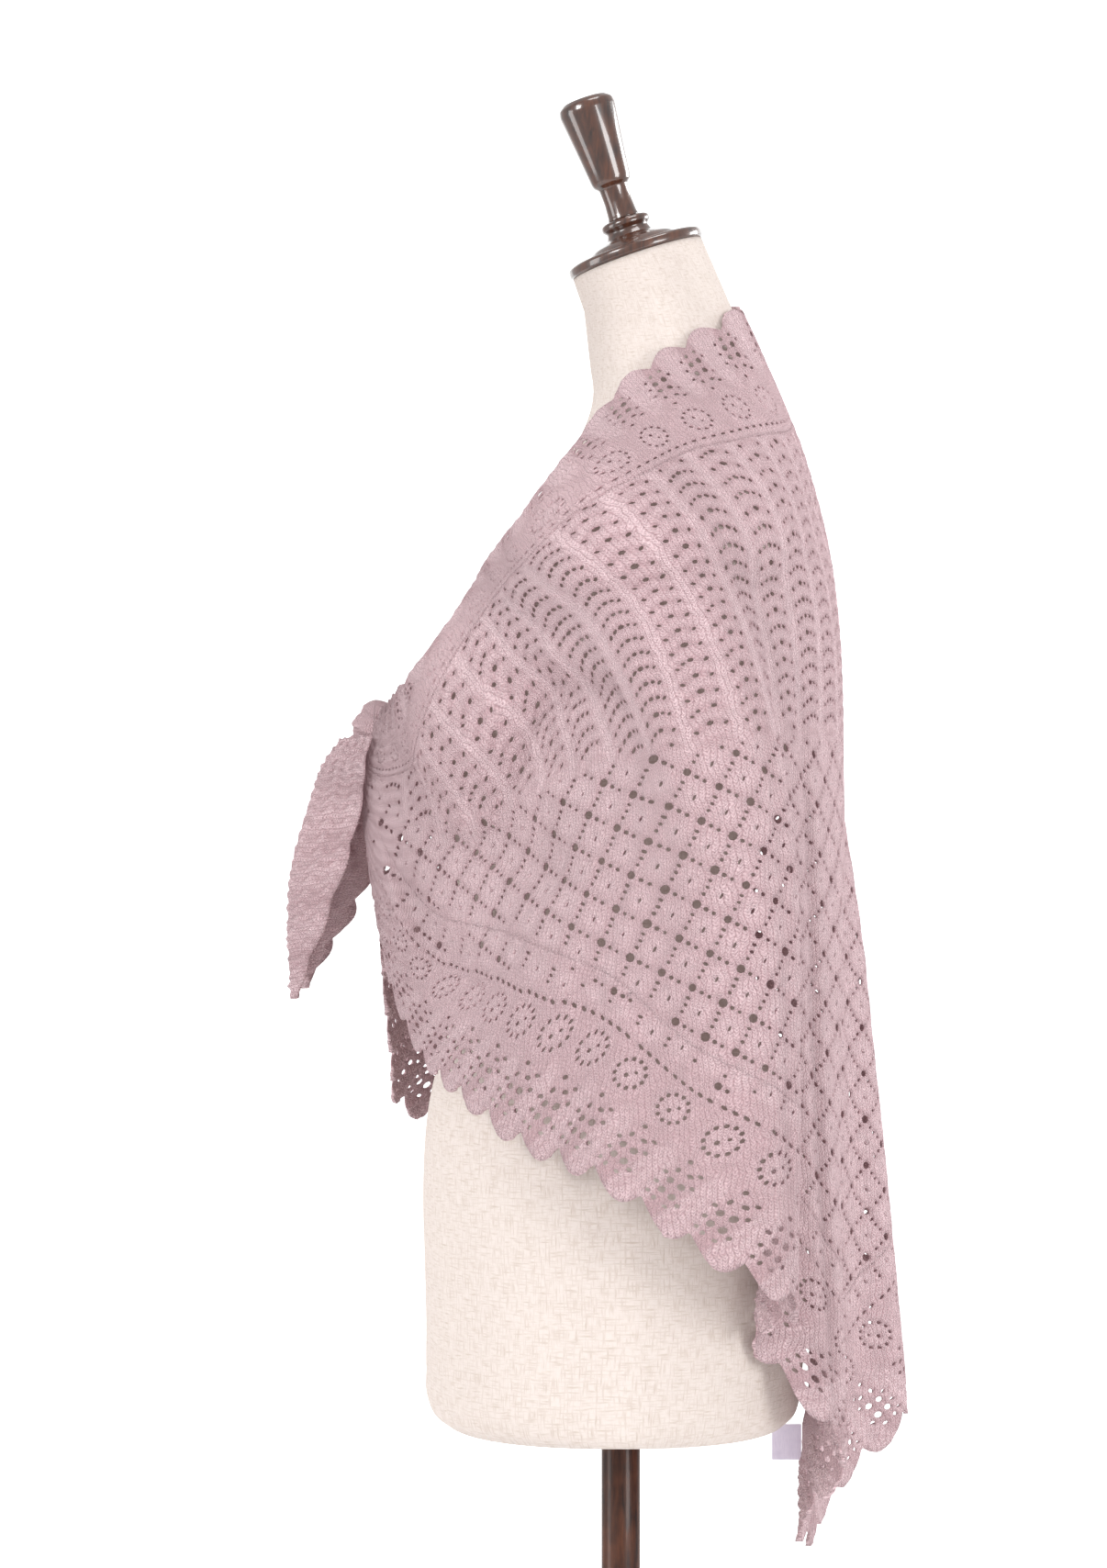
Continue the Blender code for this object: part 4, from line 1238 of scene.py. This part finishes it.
def grain_group():
    """Dark mottled grain that runs along the turned wood."""
    made, into, out = new_group(
        "wood_grain",
        [
            ("Coordinates", VECTOR, None),
            ("Dark", COLOUR, WALNUT_DARK),
            ("Light", COLOUR, WALNUT_LIGHT),
        ],
        [("Colour", COLOUR), ("Height", FLOAT)],
    )
    drawn = made.vector("MULTIPLY", into.outputs[0], (0.35, 0.35, 0.045))
    streaks = made.noise(drawn, 1.0, 6.0, Distortion=0.6)
    blots = made.noise(into.outputs[0], 0.06, 3.0)
    both = made.math("ADD", made.math("MULTIPLY", streaks, 0.7), made.math("MULTIPLY", blots, 0.5))
    share = made.stretched(both, 0.40, 0.80)
    colour = made.mix(share, into.outputs[1], into.outputs[2])
    made.link(colour, out.inputs["Colour"])
    made.link(both, out.inputs["Height"])
    return made.tree


def new_material(name):
    material = bpy.data.materials.new(name)
    material.use_nodes = True
    made = Nodes(material.node_tree)
    return material, made, material.node_tree.nodes["Principled BSDF"]


def finish(shader, values):
    """Sets what is the same all over a surface on its shader."""
    for name, value in values.items():
        shader.inputs[name].default_value = value


def grouped(made, group, coordinates):
    """A shared group placed in a material."""
    node = made.add("ShaderNodeGroup", node_tree=group)
    made.link(coordinates, node.inputs["Coordinates"])
    return node


def object_millimetres(made, fineness=1.0):
    """Coordinates of the object in millimetres, or finer than that."""
    place = made.add("ShaderNodeTexCoord")
    return made.vector("MULTIPLY", place.outputs["Object"], (1000 * fineness,) * 3)


def flat_millimetres(made):
    """Coordinates of the flat cut in millimetres, from the UV map."""
    uv = made.add("ShaderNodeUVMap", uv_map="flat")
    return made.vector("MULTIPLY", uv.outputs[0], (1000, 1000, 1000))


def lace_material(group):
    """Dusty pink wool, with painted shade between stitches and in the troughs of the raised work, and a
    faint painted glow.
    """
    material, made, shader = new_material("lace_wool")
    coordinates = flat_millimetres(made)
    knit = grouped(made, group, coordinates)
    clouds = made.noise(coordinates, 0.13, 4.0)
    ground = made.mix(clouds, WOOL_SHADED, WOOL_LIT)
    raised = made.add("ShaderNodeAttribute", attribute_name="raised")
    # Painted shade: the wool is darker in the troughs of the raised work, read from the relief height.
    crest = made.stretched(raised.outputs["Fac"], -0.8, 1.6)
    ground = made.mix(crest, WOOL_TROUGH_SHADE, ground)
    # Painted shade: darker in the gaps between stitches, mixed with random tone from the fuzz.
    colour = made.mix(knit.outputs["Shade"], WOOL_GAP_SHADE, ground)
    made.link(colour, shader.inputs["Base Color"])
    made.bump(knit.outputs["Height"], 0.0022, 1.0, shader)
    values = {
        "Roughness": 0.92,
        "Specular IOR Level": 0.2,
        "Sheen Weight": 0.35,
        "Sheen Roughness": 0.5,
        "Sheen Tint": (1.0, 0.9, 0.92, 1),
        # Painted light: a faint pink glow that lightens the wool's shade.
        "Emission Color": WOOL_PAINTED_GLOW,
        "Emission Strength": 0.09,
    }
    finish(shader, values)
    return material


def linen_material(group):
    """Cream linen with darker slubs, and a faint painted glow."""
    material, made, shader = new_material("linen_cloth")
    weave = grouped(made, group, flat_millimetres(made))
    colour = made.mix(weave.outputs["Slubs"], LINEN, LINEN_SLUB)
    made.link(colour, shader.inputs["Base Color"])
    made.bump(weave.outputs["Height"], 0.0006, 0.7, shader)
    values = {
        "Roughness": 0.9,
        "Specular IOR Level": 0.2,
        # Painted light: a faint glow that lightens the linen's shade.
        "Emission Color": LINEN_PAINTED_GLOW,
        "Emission Strength": 0.10,
    }
    finish(shader, values)
    return material


def walnut_material(name, group, coat, roughness):
    """Dark walnut, lacquered or matt by its coat."""
    material, made, shader = new_material(name)
    grain = grouped(made, group, object_millimetres(made))
    made.link(grain.outputs["Colour"], shader.inputs["Base Color"])
    made.bump(grain.outputs["Height"], 0.0002, 0.3, shader)
    values = {
        "Roughness": roughness,
        "Coat Weight": coat,
        "Coat Roughness": 0.06,
        "Specular IOR Level": 0.2 + 0.3 * coat,
    }
    finish(shader, values)
    return material


def satin_material(group):
    """Pale satin tape for the label."""
    material, made, shader = new_material("label_satin_tape")
    weave = grouped(made, group, object_millimetres(made, 1.5))
    colour = made.mix(weave.outputs["Slubs"], SATIN, SATIN_SHADED)
    made.link(colour, shader.inputs["Base Color"])
    finish(shader, {"Roughness": 0.4})
    return material


def paper_material(name, colour):
    """Pale seamless paper, faintly uneven."""
    material, made, shader = new_material(name)
    noise = made.add("ShaderNodeTexNoise", {"Scale": 3.0, "Detail": 2.0})
    darker = tuple(0.985 * value for value in colour[:3]) + (1,)
    made.link(made.mix(noise.outputs[0], darker, colour), shader.inputs["Base Color"])
    finish(shader, {"Roughness": 0.9})
    return material


def glowing_paper(name, glow):
    """White paper lit from behind, so that it stays plain white."""
    material = paper_material(name, WALL_WHITE)
    shader = material.node_tree.nodes["Principled BSDF"]
    finish(shader, {"Emission Color": (1, 1, 1, 1), "Emission Strength": glow})
    return material


# Meshes


def new_object(name, points, faces, material, uv=None, body="root"):
    """A smooth mesh from points in metres, riding on the frame's one body."""
    mesh = bpy.data.meshes.new(name)
    mesh.from_pydata(np.asarray(points).tolist(), [], [tuple(map(int, face)) for face in faces])
    mesh.update()
    mesh.shade_smooth()
    mesh.materials.append(material)
    if uv is not None:
        layer = mesh.uv_layers.new(name="flat")
        corners = np.empty(len(mesh.loops), np.int32)
        mesh.loops.foreach_get("vertex_index", corners)
        layer.data.foreach_set("uv", (np.asarray(uv)[corners] * MM).astype(np.float32).ravel())
    obj = bpy.data.objects.new(name, mesh)
    bpy.context.scene.collection.objects.link(obj)
    if body:
        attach(obj, body)
    return obj


def stands_for(node):
    """Hides the CAD node that the piece replaces."""
    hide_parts(node)


def in_row_frame(points):
    return (np.asarray(points, float) + (0, 0, DATUM)) * MM


def around(segments):
    """Angles of a closed ring's points."""
    return np.linspace(0, 2 * np.pi, segments, endpoint=False)


def tube_faces(rings, segments, flipped=False):
    """Faces between closed rings of points, each ring after the one before."""
    faces = []
    for row in range(rings - 1):
        low, high = row * segments, (row + 1) * segments
        for k in range(segments):
            after = (k + 1) % segments
            face = (low + k, low + after, high + after, high + k)
            faces.append(face[::-1] if flipped else face)
    return faces


def hang_shell(name, flat, triangles, surface, material, side):
    """Hangs a flat piece as a thin closed shell, with its raised work on the outer side."""
    u = flat[:, 0] * side
    v = flat[:, 1]
    if side < 0:
        triangles = triangles[:, ::-1]
    middle = surface(u, v)
    normals = unit_normals(surface, u, v)
    raised = relief(u, v)[:, None]
    outer = middle + normals * (CLOTH / 2 + raised)
    inner = middle - normals * (CLOTH / 2 - 0.25 * raised)
    count = len(flat)
    edges = np.concatenate([triangles[:, [0, 1]], triangles[:, [1, 2]], triangles[:, [2, 0]]])
    key = edges[:, 0].astype(np.int64) * count + edges[:, 1]
    opposite = edges[:, 1].astype(np.int64) * count + edges[:, 0]
    open_edges = edges[~np.isin(key, opposite)]
    first, second = open_edges.T
    rims = np.stack([first, second, second + count, first + count], axis=1)
    faces = [*triangles[:, ::-1].tolist(), *(triangles + count).tolist(), *rims.tolist()]
    points = in_row_frame(np.concatenate([outer, inner]))
    stitches_down = tail_across(u, v) if surface is hang_tail else v
    uv = np.concatenate([np.stack([u, stitches_down], axis=1)] * 2)
    obj = new_object(name, points, faces, material, uv)
    layer = obj.data.attributes.new("raised", "FLOAT", "POINT")
    layer.data.foreach_set("value", np.concatenate([raised[:, 0], raised[:, 0]]).astype(np.float32))
    return obj


def outline_area(points):
    """Area inside a closed line in the flat."""
    after = np.roll(points, -1, axis=0)
    return abs(np.sum(points[:, 0] * after[:, 1] - points[:, 1] * after[:, 0])) / 2


def build_shawl(material):
    """All the flat pieces, each cut once and hung on both sides."""
    tail_length = TAIL_END - BODY_END - TAIL_START
    pieces = [
        ("body", cut_body, drape, (BODY_END, DEPTH - HEM_BORDER_V - BORDER)),
        ("neck_edging", cut_top_edging, drape, (BODY_END, BORDER)),
        ("hem_edging", cut_hem_edging, drape, (BODY_END / HEM_COS, BORDER)),
        ("tail", cut_tail, hang_tail, (tail_length, hem_v(BODY_END + TAIL_START))),
    ]
    for name, cut, surface, size in pieces:
        flat, triangles, area = cut()
        for side, word in ((1, "left"), (-1, "right")):
            node = f"{name}_{word}"
            obj = hang_shell(f"{node}_lace", flat, triangles, surface, material, side)
            stands_for(node)


def gathered_end(side):
    """The bunched root of a tail, from inside the knot to where the tail opens."""
    rings, segments = 28, 40
    angles = around(segments)
    points = []
    for t in np.linspace(0, 1, rings + 1):
        pleats = 1 + 0.10 * np.sin(9 * angles + 2 * t) * min(1.0, 3 * t)
        half_x = (5.0 + 3.2 * t) * math.sin(math.pi * min(1, 0.12 + t) / 2 if t < 1 else math.pi / 2)
        half_y = 7.5 + 5.5 * t
        closing = math.sqrt(max(0.0, 1 - max(0.0, (t - 0.72) / 0.28) ** 2))
        closing = max(closing, 0.02)
        x = side * (6.5 + 6.5 * t) + np.cos(angles) * half_x * pleats * closing
        y = -(171 + 15 * t) + np.sin(angles) * half_y * pleats * closing
        z = 468 - 24 * t - 10 * t * t + 2.5 * np.sin(angles)
        points.append(np.stack([x, y, z], axis=1))
    faces = tube_faces(rings + 1, segments, flipped=side > 0)
    rows = [np.full(segments, 30.0 * row / rings) for row in range(rings + 1)]
    uv = np.concatenate([np.stack([angles * 8, row], axis=1) for row in rows])
    return np.concatenate(points), uv, faces


def build_knot(material):
    """The knot: a rounded body wrapped by slanting soft turns of the cloth."""
    segments, rings = 96, 64
    fall = np.linspace(0, np.pi, rings + 1)
    fall, angle = np.meshgrid(fall, around(segments), indexing="ij")
    slant = 5.0 * fall + 1.6 * np.cos(angle) + 0.5 * np.sin(2 * angle)
    swell = 1 + 0.09 * np.sin(2 * slant) + 0.035 * np.sin(6 * slant + angle)
    pressed = 0.20 * np.clip(-np.sin(angle), 0, 1) * np.clip(-np.cos(fall + 0.3), 0, 1)
    swell = swell * (1 - np.where(fall > np.pi / 2, pressed, 0))
    radius = np.sin(fall) * swell
    points = np.stack(
        [
            KNOT_CENTRE[0] + KNOT_AXES[0] * radius * np.cos(angle),
            KNOT_CENTRE[1] + KNOT_AXES[1] * radius * np.sin(angle),
            KNOT_CENTRE[2] - KNOT_AXES[2] * np.cos(fall),
        ],
        axis=-1,
    ).reshape(-1, 3)
    uv = np.stack([(angle * 20).ravel(), (fall * 25).ravel()], axis=1)
    faces = tube_faces(rings + 1, segments)
    points, uv = [points], [uv]
    for side in (1, -1):
        root, ring_uv, ring_faces = gathered_end(side)
        first = sum(len(part) for part in points)
        points.append(root)
        uv.append(ring_uv)
        faces += [tuple(corner + first for corner in face) for face in ring_faces]
    placed = in_row_frame(np.concatenate(points))
    obj = new_object("knot_wrap", placed, faces, material, np.concatenate(uv))
    stands_for("knot")


def build_torso(material):
    """The form, on the CAD torso's sections but finer."""
    segments, rows = 128, 190
    angles = around(segments)
    cos, sin = np.cos(angles), np.sin(angles)
    bend = 2 / SECTION_POWER
    unit_x = np.sign(cos) * np.abs(cos) ** bend
    unit_y = np.sign(sin) * np.abs(sin) ** bend
    low, top = TORSO_SECTIONS[0][0], TORSO_SECTIONS[-1][0]
    round_end = np.linspace(low, 60, 20, endpoint=False)
    heights = np.concatenate([round_end, np.linspace(60, top, rows - 20)])
    centre, half_depth, half_width = torso_section(heights)
    rings = [
        np.stack([unit_x * width, y + unit_y * depth, np.full(segments, height)], axis=1)
        for height, y, depth, width in zip(heights, centre, half_depth, half_width)
    ]
    neck_top = np.stack(
        [
            cos * NECK_TOP_RADIUS,
            -NECK_TOP_FORWARD + sin * NECK_TOP_RADIUS * math.cos(NECK_TILT),
            NECK_TOP_HEIGHT + sin * NECK_TOP_RADIUS * math.sin(NECK_TILT),
        ],
        axis=1,
    )
    last = rings[-1]
    for share in np.linspace(0, 1, 9)[1:]:
        rings.append(last * (1 - share) + neck_top * share)
    points = np.concatenate(rings)
    faces = [tuple(reversed(range(segments))), tuple(range(len(points) - segments, len(points)))]
    faces += tube_faces(len(rings), segments)
    girth = np.where(angles > np.pi, angles - 2 * np.pi, angles) * 140
    uv = np.concatenate([np.stack([girth, ring[:, 2]], axis=1) for ring in rings])
    obj = new_object("torso_linen", in_row_frame(points), faces, material, uv)
    stands_for("torso")


def on_neck_axis(height):
    """A point on the tilted axis of the cap and finial, this far above the neck's top."""
    forward = NECK_TOP_FORWARD + height * math.sin(NECK_TILT)
    return (0, -forward, DATUM + NECK_TOP_HEIGHT + height * math.cos(NECK_TILT))


def turned(name, node, profile, material, location, tilt=0.0, segments=96):
    """A turned piece from (radius, height) down its axis, with its corners softly rounded."""
    fine = []
    profile = [np.array(point, float) for point in profile]
    for k, point in enumerate(profile):
        if k in (0, len(profile) - 1):
            fine.append(point)
            continue
        before, after = profile[k - 1] - point, profile[k + 1] - point
        cut = min(0.9, 0.4 * np.linalg.norm(before), 0.4 * np.linalg.norm(after))
        start = point + before / np.linalg.norm(before) * cut
        end = point + after / np.linalg.norm(after) * cut
        fine += [start, (start + 2 * point + end) / 4, end]
    angles = around(segments)
    cosine, sine = math.cos(tilt), math.sin(tilt)
    tilted = np.array(((1, 0, 0), (0, cosine, -sine), (0, sine, cosine)))
    rings = []
    for radius, height in fine:
        level = np.full(segments, height)
        ring = np.stack([radius * np.cos(angles), radius * np.sin(angles), level], axis=1)
        rings.append(ring @ tilted.T + location)
    faces = tube_faces(len(rings), segments, flipped=True)
    obj = new_object(name, np.concatenate(rings) * MM, faces, material)
    stands_for(node)


def build_wood(grain):
    """The cap, finial, pole and base, each as (radius, height) down its axis."""
    lacquered = walnut_material("walnut_lacquered", grain, 1.0, 0.28)
    matt = walnut_material("walnut_satin", grain, 0.15, 0.42)
    cap = [
        (0.1, 27), (14.5, 27), (16.2, 25.5), (16.2, 22.5), (13.6, 20),
        (15.5, 15.5), (20, 14), (27, 11.5),
    ]
    cap += [(30.5, 8.8), (31.5, 7.6), (43.5, 7), (45.5, 5.5), (45.5, 1), (44, 0), (0.1, 0)]
    turned("neck_cap_turned", "neck_cap", cap, lacquered, on_neck_axis(0.3), NECK_TILT)
    finial = [
        (0.1, 82), (14.6, 82), (18.2, 79), (18.9, 75), (15.8, 50),
        (13.2, 27), (12.4, 24.5), (9.6, 22),
    ]
    finial += [(9.2, 12), (9.8, 3), (10.6, 0), (0.1, 0)]
    turned("finial_turned", "finial", finial, lacquered, on_neck_axis(27.6), NECK_TILT)
    pole = [(0.1, 743.7), (12.6, 743.7), (12.6, 26.3), (0.1, 26.3)]
    turned("pole_turned", "pole", pole, matt, (0, 0, 0))
    base = [
        (0.1, 26), (24, 26), (30, 22), (60, 19), (110, 16),
        (148, 14), (160, 11), (165, 6), (163, 0), (0.1, 0),
    ]
    turned("base_turned", "base", base, matt, (0, 0, 0))


# Stage, camera and lights

# Metres, with the lens and sensor in millimetres, and the strength of the even light all round
CAMERA_PLACE = (3.0, -0.044, 1.157)
SENSOR = 36.0
LENS = 105.4
EVEN_LIGHT = 0.74


def build_stage():
    """A pale floor round the stand, and a white wall so far behind that no view meets it."""
    back, front, side = -1.7, 3.0, 2.5
    corners = [(back, -side, 0), (front, -side, 0), (front, side, 0), (back, side, 0)]
    paper = paper_material("floor_paper", FLOOR_WHITE)
    floor = new_object("floor", corners, [(0, 1, 2, 3)], paper, body=None)
    floor.location.z = -0.0005
    far, wide, low, high = -9.5, 7.0, -4.0, 6.0
    corners = [(far, -wide, low), (far, wide, low), (far, wide, high), (far, -wide, high)]
    paper = glowing_paper("backdrop_paper", 0.75)
    wall = new_object("backdrop", corners, [(0, 1, 2, 3)], paper, body=None)


def build_camera():
    """The photo's view: the form's left side, level with the knot, from about 3 m."""
    data = bpy.data.cameras.new("camera")
    data.sensor_width = SENSOR
    data.lens = LENS
    camera = bpy.data.objects.new("camera", data)
    bpy.context.scene.collection.objects.link(camera)
    camera.location = CAMERA_PLACE
    camera.rotation_euler = (math.radians(90), 0, math.radians(90))
    bpy.context.scene.camera = camera


def add_light(name, location, height, size, power):
    """A soft rectangular light in watts, turned to a height on the stand's axis."""
    data = bpy.data.lights.new(name, "AREA")
    data.shape = "RECTANGLE"
    data.size, data.size_y = size
    data.energy = power
    light = bpy.data.objects.new(name, data)
    bpy.context.scene.collection.objects.link(light)
    light.location = location
    direction = Vector((0, 0, height)) - Vector(location)
    light.rotation_euler = direction.to_track_quat("-Z", "Y").to_euler()


def build_lights():
    add_light("key", (2.1, -1.8, 2.2), 1.1, (0.9, 0.9), 46)
    add_light("fill", (2.2, 2.0, 1.5), 1.1, (1.2, 1.2), 48)
    add_light("top", (0.6, 0.3, 3.2), 1.2, (1.0, 1.0), 22)
    add_light("front", (0.7, -2.6, 1.1), 1.0, (1.0, 1.4), 20)
    add_light("back", (-1.2, 1.9, 1.8), 1.2, (1.0, 1.0), 34)
    world = bpy.data.worlds.new("studio")
    world.use_nodes = True
    background = world.node_tree.nodes["Background"]
    background.inputs[0].default_value = (1, 1, 1, 1)
    background.inputs[1].default_value = EVEN_LIGHT
    bpy.context.scene.world = world
    bpy.context.scene.view_settings.view_transform = "Standard"


def main():
    build_camera()
    build_stage()
    build_lights()
    lace = lace_material(knit_group())
    linen_weave = weave_group()
    build_torso(linen_material(linen_weave))
    build_wood(grain_group())
    build_knot(lace)
    build_shawl(lace)
    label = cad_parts["care_label"]
    satin = satin_material(linen_weave)
    for slot in label.material_slots:
        slot.material = satin


main()
